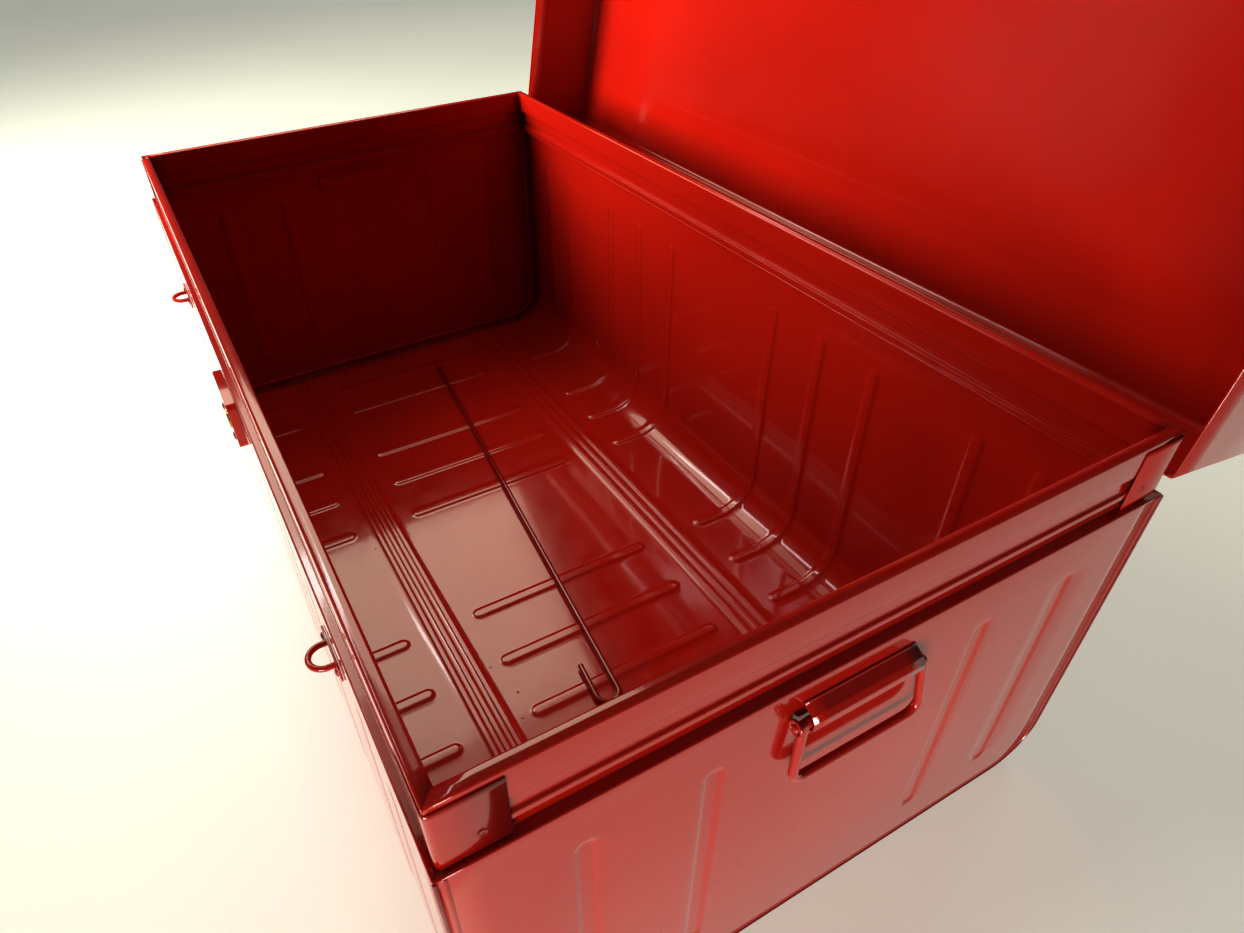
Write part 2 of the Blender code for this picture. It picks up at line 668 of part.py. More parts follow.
def make_lock(lid):
    face = -HALF_W
    front = face - GAP - LOCK_DEPTH
    low = (-LOCK_HALF_WIDTH, front, LOCK_LOW)
    high = (LOCK_HALF_WIDTH, face - GAP, LOCK_HIGH)
    case = piece("lock_case", box_mesh(low, high), "red_enamel")
    soften(case, 0.0012, 1)
    inside_low = [v + LOCK_WALL for v in low]
    inside_high = (high[0] - LOCK_WALL, high[1] + 0.002, high[2] - LOCK_WALL)
    window_low = (-WINDOW_HALF_X, front - 0.002, EYE_Z - WINDOW_HALF_Z)
    window_high = (WINDOW_HALF_X, face - 0.003, EYE_Z + WINDOW_HALF_Z)
    bore = (0, front - 0.002, CYLINDER_Z), (0, face - 0.004, CYLINDER_Z)
    cut(
        case, box_mesh(inside_low, inside_high), box_mesh(window_low, window_high),
        cone_mesh(*bore, CYLINDER_R + GAP, CYLINDER_R + GAP, 24))

    ends = (0, front - 0.0008, CYLINDER_Z), (0, face - 0.0012, CYLINDER_Z)
    body = cone_mesh(*ends, CYLINDER_R, CYLINDER_R, 24)
    cylinder = piece("lock_cylinder", body, "brass", (0, front, CYLINDER_Z))
    key_low = (-KEY_HALF_X, front - 0.002, CYLINDER_Z - KEY_HALF_Z)
    cut(cylinder, box_mesh(key_low, (KEY_HALF_X, front + 0.003, CYLINDER_Z + KEY_HALF_Z)))

    bolt_y = face - BOLT_OUT
    ends = (BOLT_START, bolt_y, EYE_Z), (BOLT_END, bolt_y, EYE_Z)
    piece("lock_bolt", cone_mesh(*ends, BOLT_R, BOLT_R, 12), "plated_steel", (0, bolt_y, EYE_Z))

    hasp_mount("lock_hasp_mount", 0, LOCK_AXIS_OUT, lid)
    reach = HASP_AXIS_Z - EYE_Z + 0.010
    strap = hasp_strap("lock_hasp_strap", 0, LOCK_AXIS_OUT, reach, lid)
    eye_z = 2 * HASP_AXIS_Z - EYE_Z
    axis_y = face - LOCK_AXIS_OUT
    outer_y = 2 * axis_y - (face - EYE_TIP_OUT)
    hole_y = 2 * axis_y - bolt_y
    hole_r = BOLT_R + 0.0005
    eye_low = (-EYE_HALF_X, outer_y, eye_z - EYE_HALF_Z)
    unite(strap, box_mesh(eye_low, (EYE_HALF_X, axis_y, eye_z + EYE_HALF_Z)))
    hole = (-CUT_MARGIN, hole_y, eye_z), (CUT_MARGIN, hole_y, eye_z)
    cut(strap, cone_mesh(*hole, hole_r, hole_r, 12))
    for number, dx in enumerate((-LOCK_RIVET_X, LOCK_RIVET_X), 1):
        rivet(f"lock_rivet_{number}", (dx, front, LOCK_LOW + 0.009), (0, -1, 0))


# Loose rod

def make_rod():
    """A straight rod with a U hook at its near end, lying on the floor's ribs."""
    start, end = Vector(ROD_START), Vector(ROD_END)
    along = (end - start).normalized()
    across = Vector((along.y, -along.x))
    turns = [pi / 2 - pi * i / 8 for i in range(9)]
    centre = end + across * HOOK_R
    hook = [centre + (along * cos(t) - across * sin(t)) * HOOK_R for t in turns]
    tail = start - Vector((ROD_TAIL, 0))
    tip = hook[-1] - along * HOOK_LEG
    z = SHEET + RIB_HEIGHT + GAP + ROD_R
    points = [(p.x, p.y, z) for p in (tail, start, *hook, tip)]
    wire("stay_rod", points, ROD_R, "dark_red_enamel", (0, 0, z))


def build():
    lid = bpy.data.objects.new("lid_pivot", None)
    lid.location = (0, HINGE_Y, HINGE_Z)
    lid["drawn_at"] = (0, HINGE_Y, HINGE_Z)
    lid.rotation_euler = (-LID_OPEN, 0, 0)
    PARTS.objects.link(lid)

    make_wrap()
    for tag, side in (("left", -1), ("right", 1)):
        make_end_panel("end_panel_" + tag, side)
        make_corner_cap("corner_cap_front_" + tag, side, -1)
        make_corner_cap("corner_cap_back_" + tag, side, 1)
        make_handle(tag, side)
        make_staple(tag, side * STAPLE_X)
        make_side_hasp(tag, side * STAPLE_X, lid)
        make_hinge(tag, side * HINGE_X, lid)
    make_lid(lid)
    make_lock(lid)
    make_rod()


build()
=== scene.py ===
import json
from math import copysign, cos, hypot, pi, radians, sin, sqrt

import bmesh
import bpy
from mathutils import Matrix, Vector, noise


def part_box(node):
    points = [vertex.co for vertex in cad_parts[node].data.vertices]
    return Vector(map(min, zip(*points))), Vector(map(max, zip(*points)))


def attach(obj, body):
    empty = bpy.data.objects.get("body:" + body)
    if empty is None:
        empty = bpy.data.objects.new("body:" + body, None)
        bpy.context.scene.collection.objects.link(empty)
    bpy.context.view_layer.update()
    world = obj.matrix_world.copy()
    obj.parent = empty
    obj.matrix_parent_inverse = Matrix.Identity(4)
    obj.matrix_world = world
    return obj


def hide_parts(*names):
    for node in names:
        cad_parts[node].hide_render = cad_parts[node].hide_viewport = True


# Pressed-steel trunk: detailed sheet, rim, handles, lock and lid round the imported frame.
# Metres, the frame's own axes. Lid pieces are drawn with the lid closed, then opened with OPENED.

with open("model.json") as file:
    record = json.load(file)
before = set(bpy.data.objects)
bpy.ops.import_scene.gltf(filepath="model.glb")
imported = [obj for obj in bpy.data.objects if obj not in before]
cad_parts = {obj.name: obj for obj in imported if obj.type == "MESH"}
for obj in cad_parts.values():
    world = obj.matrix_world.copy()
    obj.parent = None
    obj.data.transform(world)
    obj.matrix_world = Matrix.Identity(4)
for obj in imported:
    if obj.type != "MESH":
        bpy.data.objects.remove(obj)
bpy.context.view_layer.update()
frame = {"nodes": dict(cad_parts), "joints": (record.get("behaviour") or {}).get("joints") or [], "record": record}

# Sizes read from the frame
END_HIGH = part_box("end_panel_right")[1]
HALF_L = END_HIGH.x
HALF_W = END_HIGH.y
RIM_TOP = END_HIGH.z
LEDGE_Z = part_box("corner_cap_front_left")[0].z - 0.0008
JOINTS = {joint["name"]: joint for joint in frame["joints"]}
HINGE = Vector(JOINTS["lid_hinge"]["pos_m"])
LID_OPEN = radians(JOINTS["lid_hinge"]["range_deg"][1])
ABOUT_HINGE = Matrix.Translation(HINGE)
OPENED = ABOUT_HINGE @ Matrix.Rotation(-LID_OPEN, 4, "X") @ ABOUT_HINGE.inverted()
CLOSED = OPENED.inverted()
HANDLE_AXIS = Vector(JOINTS["handle_right_swing"]["pos_m"])
SIDE_HASP_AXIS = CLOSED @ Vector(JOINTS["hasp_right_hinge"]["pos_m"])
LOCK_HASP_AXIS = CLOSED @ Vector(JOINTS["lock_hasp_hinge"]["pos_m"])

# Sheet and rim
SHEET = 0.001
MID = SHEET / 2
BEND_R = 0.040
WALL_TOP = LEDGE_Z - 0.007
NECK = 0.006 + MID
RIM_ROUND = 0.0008
RIM_STEP = 0.0010
BEAD_IN = NECK + 0.0018
BEAD_Z = LEDGE_Z + 0.0068
RIDGE_OUT = 0.0019
RIDGE_LOW = LEDGE_Z + 0.0096
RIDGE_HIGH = LEDGE_Z + 0.0134
HEM_OUT = 0.004 + MID
HEM_IN = 0.012 - MID
HEM_FOOT = LEDGE_Z + 0.0265
HEM_ROUND = 0.0015
HEM_DROP = 0.0005
RING_R = 0.0007
RING_CORNER = 0.003
RIM_RINGS = (
    ("rim_bead_lower", NECK + MID + 0.0001, LEDGE_Z - 0.0001),
    ("rim_bead_upper", BEAD_IN + MID - 0.0003, LEDGE_Z + 0.0070))
WOBBLE = 0.00022
WOBBLE_SCALE = 4.5

# Pressed ribs and beads. S is a distance along the wrap from the floor's middle.
RIB_HALF = 0.0075
RIB_SLOPE = 0.0044
RIB_HEIGHT = 0.0013
RIB_X = (0.087, 0.1524, 0.2165, 0.324, 0.379)
END_RIB_Y = (0.0955, 0.169)
RIB_LOW = 0.0397
RIB_TOP = 0.244
RIB_END_INSIDE = 0.009
RIB_END_OUTSIDE = 0.001
FLOOR_RIB_END = 0.100
SIDE_RIB_START = 0.164
BEAD_S = (0.1215, 0.132, 0.1425)
BEAD_HALF = 0.0030
BEAD_SLOPE = 0.0014
BEAD_HEIGHT = 0.0010
BEAD_END = 0.026
BEAD_END_HALF = 0.004
FINE = 0.00125
COARSE = 0.022

# Where the sheets start to be pulled in to their true edges, and the gap of the rim's mitred corners
FIXED_X = HALF_L - 0.022
FIXED_Y = 0.182
MITRE_GAP = 0.0001

# Folded seams round the end panels
SEAM_BEAD_IN = 0.0052
SEAM_BEAD_BACK = 0.0004
SEAM_BEAD_R = 0.0019
SEAM_BEAD_TOP = LEDGE_Z - 0.002
SEAM_LIP_IN = 0.0007
SEAM_LIP_BACK = 0.0003
SEAM_LIP_R = 0.0011
SEAM_LIP_TOP = LEDGE_Z - 0.0015

# Corner caps, with the eyelet's profile as (radius, height)
CAP_IN = 0.004 - 0.00055
CAP_LEG = 0.035
CAP_ROUND = 0.0035
CAP_SHEET = 0.0005
CAP_LOW = LEDGE_Z + 0.0008
CAP_HIGH = RIM_TOP - 0.0045
EYELET = ((0.0016, 0), (0.0022, 0.0003), (0.0024, 0), (0.0016, -0.0002), (0, -0.0003))
EYELET_OUT = 0.0003
EYELET_BACK = 0.022
EYELET_Z = LEDGE_Z + 0.013

# Lid
CLOSED_HEIGHT = 0.370
LID_EDGE = LEDGE_Z + 0.0003
LID_ROUND = 0.006
LID_CORNER = 0.0025
LID_SIDE_MARKS = (0.30, 0.33)
LID_FLAT_RINGS = (0.002, 0.012)

# Fittings: the play between pieces, their softened edges and their sheets
GAP = 0.0003
EDGE = 0.0003
LEAF = 0.0015
STRAP = 0.0015
FRONT_FACE = -HALF_W - GAP


# ---------------------------------------------------------------- materials

def new_material(name):
    made = bpy.data.materials.new(name)
    made.use_nodes = True
    return made, made.node_tree, made.node_tree.nodes["Principled BSDF"]


def add_node(tree, kind, **values):
    made = tree.nodes.new(kind)
    for key, value in values.items():
        if key in made.inputs:
            made.inputs[key].default_value = value
        else:
            setattr(made, key, value)
    return made


def noise_field(tree, scale, detail=3.0, roughness=0.5):
    """A noise texture in the object's own space."""
    place = add_node(tree, "ShaderNodeTexCoord")
    field = add_node(tree, "ShaderNodeTexNoise", Scale=scale, Detail=detail, Roughness=roughness)
    tree.links.new(place.outputs["Object"], field.inputs["Vector"])
    return field


def mapped(tree, field, low, high, from_low=0.3, from_high=0.7):
    span = add_node(tree, "ShaderNodeMapRange")
    span.inputs["From Min"].default_value = from_low
    span.inputs["From Max"].default_value = from_high
    span.inputs["To Min"].default_value = low
    span.inputs["To Max"].default_value = high
    tree.links.new(field.outputs["Fac"], span.inputs["Value"])
    return span.outputs["Result"]


def mixed(tree, factor, first, second):
    mix = add_node(tree, "ShaderNodeMix", data_type="RGBA")
    mix.inputs["A"].default_value = first
    mix.inputs["B"].default_value = second
    tree.links.new(factor, mix.inputs["Factor"])
    return mix.outputs["Result"]


def add_bumps(tree, shader, layers):
    """Bump layers as (noise scale, distance, strength), coarse to fine."""
    normal = None
    for scale, distance, strength in layers:
        field = noise_field(tree, scale, 2.0)
        bump = add_node(tree, "ShaderNodeBump", Strength=strength, Distance=distance)
        tree.links.new(field.outputs["Fac"], bump.inputs["Height"])
        if normal is not None:
            tree.links.new(normal, bump.inputs["Normal"])
        normal = bump.outputs["Normal"]
    tree.links.new(normal, shader.inputs["Normal"])
    return normal


def enamel(name, deep, bright, rough_low, rough_high):
    """Glossy sprayed enamel: slow colour drift, orange-peel skin and a clear top coat."""
    made, tree, shader = new_material(name)
    drift = noise_field(tree, 5.0, 4.0)
    colour = mixed(tree, mapped(tree, drift, 0.0, 1.0), deep, bright)
    tree.links.new(colour, shader.inputs["Base Color"])
    haze = noise_field(tree, 38.0, 5.0, 0.6)
    tree.links.new(mapped(tree, haze, rough_low, rough_high), shader.inputs["Roughness"])
    shader.inputs["IOR"].default_value = 1.5
    shader.inputs["Coat Weight"].default_value = 0.7
    shader.inputs["Coat Roughness"].default_value = 0.04
    normal = add_bumps(tree, shader, ((16.0, 0.0006, 0.10), (420.0, 0.00012, 0.16)))
    tree.links.new(normal, shader.inputs["Coat Normal"])
    return made


def metal(name, deep, bright, rough_low, rough_high, grain):
    made, tree, shader = new_material(name)
    shader.inputs["Metallic"].default_value = 1.0
    drift = noise_field(tree, 60.0, 3.0)
    colour = mixed(tree, mapped(tree, drift, 0.0, 1.0), deep, bright)
    tree.links.new(colour, shader.inputs["Base Color"])
    streak = noise_field(tree, grain, 4.0)
    tree.links.new(mapped(tree, streak, rough_low, rough_high), shader.inputs["Roughness"])
    add_bumps(tree, shader, ((grain, 0.0001, 0.2),))
    return made


RED = enamel("red_enamel", (0.43, 0.014, 0.005, 1), (0.50, 0.018, 0.006, 1), 0.10, 0.20)
# A darker copy of the red enamel: rivet heads and the rod, and painted shade on the seam lips, cap eyelets and
# floor dots.
DARK_RED = enamel("dark_red_enamel", (0.24, 0.008, 0.005, 1), (0.31, 0.011, 0.006, 1), 0.14, 0.26)
STEEL = metal("plated_steel", (0.55, 0.54, 0.52, 1), (0.70, 0.69, 0.67, 1), 0.16, 0.32, 240.0)
BRASS = metal("brass", (0.55, 0.37, 0.13, 1), (0.66, 0.47, 0.20, 1), 0.18, 0.34, 300.0)


# ---------------------------------------------------------------- mesh helpers

def add_piece(name, bm, material, body, covers=(), place=None, sharp=35):
    """Turns a mesh into a finished piece: shading, material, body, and the CAD nodes that it covers."""
    bmesh.ops.recalc_face_normals(bm, faces=bm.faces)
    if place is not None:
        bm.transform(place)
    mesh = bpy.data.meshes.new(name)
    bm.to_mesh(mesh)
    bm.free()
    mesh.shade_smooth()
    mesh.set_sharp_from_angle(angle=radians(sharp))
    mesh.materials.append(material)
    obj = bpy.data.objects.new(name, mesh)
    bpy.context.scene.collection.objects.link(obj)
    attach(obj, body)
    if covers:
        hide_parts(*covers)
    return obj


def settle(obj):
    """Applies the piece's modifiers to its mesh."""
    graph = bpy.context.evaluated_depsgraph_get()
    mesh = bpy.data.meshes.new_from_object(obj.evaluated_get(graph), depsgraph=graph)
    obj.modifiers.clear()
    obj.data = mesh
    return obj


def thicken(obj, thickness=SHEET, rim_round=0.0):
    step = obj.modifiers.new("sheet", "SOLIDIFY")
    step.thickness = thickness
    step.offset = 0
    step.use_even_offset = True
    if rim_round:
        soften(obj, rim_round)
    return settle(obj)


def soften(obj, width, segments=2):
    step = obj.modifiers.new("edges", "BEVEL")
    step.width = width
    step.segments = segments
    step.limit_method = "ANGLE"
    step.angle_limit = radians(40)
    step.harden_normals = False


def carve(obj, shapes, operation="DIFFERENCE"):
    """Cuts or joins closed shapes, then keeps the result and drops the tools."""
    tools = []
    for bm in shapes:
        bmesh.ops.recalc_face_normals(bm, faces=bm.faces)
        mesh = bpy.data.meshes.new("tool")
        bm.to_mesh(mesh)
        bm.free()
        tool = bpy.data.objects.new("tool", mesh)
        bpy.context.scene.collection.objects.link(tool)
        step = obj.modifiers.new("step", "BOOLEAN")
        step.operation = operation
        step.solver = "EXACT"
        step.object = tool
        tools.append(tool)
    bpy.context.view_layer.update()
    settle(obj)
    for tool in tools:
        bpy.data.objects.remove(tool, do_unlink=True)
    return obj


def arc(centre, radius, start, end, steps):
    turns = [start + (end - start) * i / steps for i in range(steps + 1)]
    return [(centre[0] + radius * cos(a), centre[1] + radius * sin(a)) for a in turns]


def fillet(points, radius, steps=4):
    """Rounds the inner corners of an open 2D line."""
    out = [Vector(points[0])]
    for before, here, after in zip(points, points[1:], points[2:]):
        before, here, after = Vector(before), Vector(here), Vector(after)
        back, ahead = before - here, after - here
        bend = pi - back.angle(ahead)
        if bend < radians(12):
            out.append(here)
            continue
        trim = min(radius * sin(bend / 2) / cos(bend / 2), 0.45 * back.length, 0.45 * ahead.length)
        first = here + back.normalized() * trim
        last = here + ahead.normalized() * trim
        for i in range(steps + 1):
            t = i / steps
            out.append(first.lerp(here, t).lerp(here.lerp(last, t), t))
    out.append(Vector(points[-1]))
    return [tuple(p) for p in out]


def spread(low, high, step):
    count = max(1, round((high - low) / step))
    return [low + (high - low) * i / count for i in range(count + 1)]


def merged(*lists, tolerance=0.0002):
    """One rising list of marks without near doubles."""
    out = []
    for value in sorted(v for values in lists for v in values):
        if not out or value - out[-1] > tolerance:
            out.append(value)
    return out


def both_signs(values):
    return [sign * value for value in values for sign in (-1, 1)]


def prism(outline, matrix, low, high):
    """A closed 2D outline swept from low to high along local Z, then placed."""
    bm = bmesh.new()
    rings = [[bm.verts.new((u, v, level)) for u, v in outline] for level in (low, high)]
    bottom = bm.faces.new(rings[0])
    top = bm.faces.new(rings[1])
    bmesh.ops.bridge_loops(bm, edges=list(bottom.edges) + list(top.edges))
    bm.transform(matrix)
    bmesh.ops.recalc_face_normals(bm, faces=bm.faces)
    return bm


def round_rect(width, height, radius, steps=5, centre=(0, 0)):
    u, v = width / 2 - radius, height / 2 - radius
    out = []
    for turn, (du, dv) in enumerate(((u, v), (-u, v), (-u, -v), (u, -v))):
        start = turn * pi / 2
        out += arc((centre[0] + du, centre[1] + dv), radius, start, start + pi / 2, steps)
    return out


def lathe(profile, base, direction, segments=24):
    """A turned solid: (radius, height) points up its side, closed on its axis at both ends."""
    bm = bmesh.new()
    rings = []
    circle = arc((0, 0), 1, 0, 2 * pi, segments)[:-1]
    for radius, height in profile:
        if radius < 1e-6:
            rings.append([bm.verts.new((0, 0, height))])
        else:
            rings.append([bm.verts.new((radius * u, radius * v, height)) for u, v in circle])
    for low, high in zip(rings, rings[1:]):
        for i in range(segments):
            j = (i + 1) % segments
            if len(low) == 1:
                bm.faces.new((low[0], high[i], high[j]))
            elif len(high) == 1:
                bm.faces.new((low[i], low[j], high[0]))
            else:
                bm.faces.new((low[i], low[j], high[j], high[i]))
    turn = Vector(direction).to_track_quat("Z", "X").to_matrix().to_4x4()
    bm.transform(Matrix.Translation(base) @ turn)
    return bm


def tube(points, radius, sides=16, dome=True):
    """A round wire along 3D points, with domed or flat ends."""
    points = [Vector(p) for p in points]
    spine, radii = list(points), [radius] * len(points)
    if dome:
        reach, tip = 0.6 * radius, 0.02
        turns = spread(0, pi / 2, pi / 8)[1:]
        for end, inner in ((0, 1), (-1, -2)):
            out = (points[end] - points[inner]).normalized()
            cap = [(points[end] + out * reach * sin(a), radius * max(cos(a), tip)) for a in turns]
            if end == 0:
                spine = [p for p, _ in reversed(cap)] + spine
                radii = [r for _, r in reversed(cap)] + radii
            else:
                spine += [p for p, _ in cap]
                radii += [r for _, r in cap]
    tangents = []
    for i in range(len(spine)):
        before, after = spine[max(i - 1, 0)], spine[min(i + 1, len(spine) - 1)]
        tangents.append((after - before).normalized())
    side = tangents[0].orthogonal().normalized()
    circle = arc((0, 0), 1, 0, 2 * pi, sides)[:-1]
    bm = bmesh.new()
    rings = []
    for i, (here, r) in enumerate(zip(spine, radii)):
        if i:
            side = tangents[i - 1].rotation_difference(tangents[i]) @ side
        up = tangents[i].cross(side)
        rings.append([bm.verts.new(here + (side * u + up * v) * r) for u, v in circle])
    for low, high in zip(rings, rings[1:]):
        for k in range(sides):
            bm.faces.new((low[k], low[(k + 1) % sides], high[(k + 1) % sides], high[k]))
    bm.faces.new(list(reversed(rings[0])))
    bm.faces.new(rings[-1])
    return bm


# ---------------------------------------------------------------- pressed sheet

def stadium(across, along, low, high, half, slope, height):
    """Height of a pressed rib with round ends, for a point across and along it."""
    beyond = max(0.0, low + half - along, along - high + half)
    depth = min(max((half - hypot(across, beyond)) / slope, 0.0), 1.0)
    return height * depth * depth * (3 - 2 * depth)


def wobble(u, v, seed):
    return WOBBLE * noise.noise(Vector((u * WOBBLE_SCALE, v * WOBBLE_SCALE, seed)))


def rim_section():
    """The rim from the wall upwards, as (inset from the outer face, height)."""
    crown = RIM_TOP - MID
    lower = [
        (MID, LEDGE_Z - 0.006),
        (MID, LEDGE_Z - MID),
        (NECK + 0.0002, LEDGE_Z - MID),
        (BEAD_IN, BEAD_Z),
        (NECK, BEAD_Z + RIM_STEP),
        (NECK, RIDGE_LOW - RIM_STEP),
        (NECK - RIDGE_OUT, RIDGE_LOW),
        (NECK - RIDGE_OUT, RIDGE_HIGH),
        (NECK, RIDGE_HIGH + RIM_STEP),
        (NECK, HEM_FOOT - 0.002),
        (HEM_OUT, HEM_FOOT),
        (HEM_OUT, HEM_FOOT + 0.006),
    ]
    roll = [
        (HEM_OUT, HEM_FOOT + 0.008),
        (HEM_OUT, crown - HEM_DROP),
        ((HEM_OUT + HEM_IN) / 2, crown),
        (HEM_IN, crown - HEM_DROP),
        (HEM_IN, HEM_FOOT + 0.008),
    ]
    upper = [(HEM_IN, HEM_FOOT + 0.006), (HEM_IN, HEM_FOOT), (NECK + 0.0015, HEM_FOOT - MID)]
    return fillet(lower, RIM_ROUND) + fillet(roll, HEM_ROUND, 6) + fillet(upper, RIM_ROUND)


FLOOR_S = HALF_W - BEND_R
BEND_S = (BEND_R - MID) * pi / 2


def wrap_spot(s):
    """(y, z) on the wrap's middle surface at a distance s from the floor's middle."""
    if s <= FLOOR_S:
        return s, MID
    if s <= FLOOR_S + BEND_S:
        turn = (s - FLOOR_S) / (BEND_R - MID)
        return FLOOR_S + (BEND_R - MID) * sin(turn), BEND_R - (BEND_R - MID) * cos(turn)
    return HALF_W - MID, BEND_R + s - FLOOR_S - BEND_S


def wall_s(z):
    """The distance s at a height on the upright wall."""
    return FLOOR_S + BEND_S + z - BEND_R


def marks_round(centres, half, step):
    """Close marks on both sides of every centre."""
    return [mark for c in centres for mark in spread(c - half, c + half, step)]


def rib_foot(end):
    """Close marks round the lower end of a rib."""
    return spread(end - RIB_END_OUTSIDE, end + RIB_END_INSIDE, FINE)


def rib_head(end):
    """Close marks round the upper end of a rib."""
    return spread(end - RIB_END_INSIDE, end + RIB_END_OUTSIDE, FINE)


def wrap_rows():
    """Path points (y, z, s, inset) from the floor's middle out to the hem's edge."""
    bend_end = FLOOR_S + BEND_S
    marks = merged(
        spread(0, FLOOR_S, COARSE), marks_round(BEAD_S, BEAD_HALF, BEAD_SLOPE / 3),
        rib_head(FLOOR_RIB_END), rib_foot(SIDE_RIB_START), spread(FLOOR_S, bend_end, BEND_S / 18),
        spread(bend_end, wall_s(WALL_TOP), COARSE), rib_head(wall_s(RIB_TOP)))
    rows = [(*wrap_spot(s), s, 0.0) for s in marks]
    rows += [(HALF_W - inset, z, wall_s(z), inset) for inset, z in rim_section()]
    return rows


def wrap_relief(x, s, is_rim):
    if is_rim:
        return 0.0
    height = wobble(x, s, 3.0)
    across = min(abs(abs(x) - c) for c in RIB_X)
    height += stadium(across, abs(s), -1, FLOOR_RIB_END, RIB_HALF, RIB_SLOPE, RIB_HEIGHT)
    height += stadium(across, abs(s), SIDE_RIB_START, wall_s(RIB_TOP), RIB_HALF, RIB_SLOPE, RIB_HEIGHT)
    offset = min(abs(abs(s) - c) for c in BEAD_S)
    height += stadium(offset, abs(x), -1, HALF_L - BEAD_END, BEAD_HALF, BEAD_SLOPE, BEAD_HEIGHT)
    return height


def sheet_grid(rows, columns, spot):
    """A grid of faces with the point for each row and column given by spot."""
    bm = bmesh.new()
    grid = [[bm.verts.new(spot(row, column)) for column in columns] for row in rows]
    for low, high in zip(grid, grid[1:]):
        for k in range(len(columns) - 1):
            bm.faces.new((low[k], low[k + 1], high[k + 1], high[k]))
    return bm


def path_normals(path):
    """Left normals of a 2D path, smoothed over its neighbours."""
    out = []
    for i, here in enumerate(path):
        before, after = path[max(i - 1, 0)], path[min(i + 1, len(path) - 1)]
        along = Vector((after[0] - before[0], after[1] - before[1])).normalized()
        out.append((-along.y, along.x))
    return out


def pulled(value, fixed, half, end):
    """A grid coordinate, pulled in past the fixed mark so that the half width lands on the end."""
    if abs(value) <= fixed:
        return value
    return copysign(fixed + (abs(value) - fixed) * (end - fixed) / (half - fixed), value)


def make_wrap():
    """Front wall, floor and back wall in one bent and ribbed sheet, with the rim along its two long edges."""
    half = wrap_rows()
    rows = [(-y, z, -s, inset) for y, z, s, inset in reversed(half)] + half[1:]
    rows = [(*row, *normal) for row, normal in zip(rows, path_normals(rows))]
    columns = merged(
        spread(-HALF_L, HALF_L, COARSE), marks_round(both_signs(RIB_X), RIB_HALF, FINE),
        marks_round(both_signs([HALF_L - BEAD_END]), BEAD_END_HALF, FINE))

    def spot(row, x):
        y, z, s, inset, ny, nz = row
        end = HALF_L - inset - MITRE_GAP if inset else HALF_L - SHEET
        lift = wrap_relief(x, s, inset > 0)
        return pulled(x, FIXED_X, HALF_L, end), y + ny * lift, z + nz * lift

    bm = sheet_grid(rows, columns, spot)
    thicken(add_piece("trunk_wrap", bm, RED, "trunk_body", ("body_wrap",), sharp=50))


def end_reach(z):
    """Half width of the end panel at a height, round its lower corners."""
    if z >= BEND_R:
        return HALF_W
    return HALF_W - BEND_R + sqrt(max(BEND_R ** 2 - (BEND_R - z) ** 2, 0.0))


def make_end(tag, side):
    """An end panel with its ribs, rounded lower corners and the same rim."""
    low_marks = [BEND_R * (1 - cos(a)) for a in spread(0, pi / 2, pi / 32)]
    marks = merged(low_marks, spread(BEND_R, WALL_TOP, COARSE), rib_foot(RIB_LOW), rib_head(RIB_TOP))
    rows = [(HALF_L - MID, z, 0.0) for z in marks]
    rows += [(HALF_L - inset, z, inset) for inset, z in rim_section()]
    columns = merged(spread(-HALF_W, HALF_W, COARSE), marks_round(both_signs(END_RIB_Y), RIB_HALF, FINE))

    def spot(row, y):
        x, z, inset = row
        end = HALF_W - inset - MITRE_GAP if inset else end_reach(z)
        lift = 0.0
        if not inset:
            across = min(abs(abs(y) - c) for c in END_RIB_Y)
            lift = stadium(across, z, RIB_LOW, RIB_TOP, RIB_HALF, RIB_SLOPE, RIB_HEIGHT)
            lift += wobble(y, z, 7.0 + side)
        return side * (x - lift), pulled(y, FIXED_Y, HALF_W, end), z

    bm = sheet_grid(rows, columns, spot)
    thicken(add_piece("end_sheet_" + tag, bm, RED, "trunk_body", ("end_panel_" + tag,), sharp=50))


def end_line(inset, top):
    """The U-shaped line round an end panel, a distance inside its outline."""
    r = BEND_R - inset
    right = arc((HALF_W - BEND_R, BEND_R), r, -pi / 2, 0, 14)
    half = right + [(HALF_W - inset, z) for z in spread(BEND_R + 0.02, top, 0.03)]
    return [(-y, z) for y, z in reversed(half)] + half


def make_end_seams(tag, side):
    """The folded seam that joins an end panel to the wrap: a bead inside and a thin lip outside, whose dark enamel
    is painted shade along the seam.
    """
    bead_x = side * (HALF_L - SHEET - SEAM_BEAD_BACK)
    bead = [(bead_x, y, z) for y, z in end_line(SEAM_BEAD_IN, SEAM_BEAD_TOP)]
    add_piece("end_seam_bead_" + tag, tube(bead, SEAM_BEAD_R, 12), RED, "trunk_body")
    # The outer lip in dark enamel: painted shade for the dark line along the seam.
    lip_x = side * (HALF_L - SEAM_LIP_BACK)
    lip = [(lip_x, y, z) for y, z in end_line(SEAM_LIP_IN, SEAM_LIP_TOP)]
    add_piece("end_seam_lip_" + tag, tube(lip, SEAM_LIP_R, 10), DARK_RED, "trunk_body")


def make_ring(name, inset, z, radius, corner, body, material, place=None):
    """A thin round bead all the way round the trunk, a distance inside its outline."""
    plan = round_rect(2 * (HALF_L - inset), 2 * (HALF_W - inset), corner, 6)
    bm = tube([(px, py, z) for px, py in plan + plan[:1]], radius, 12, dome=False)
    return add_piece(name, bm, material, body, (), place)


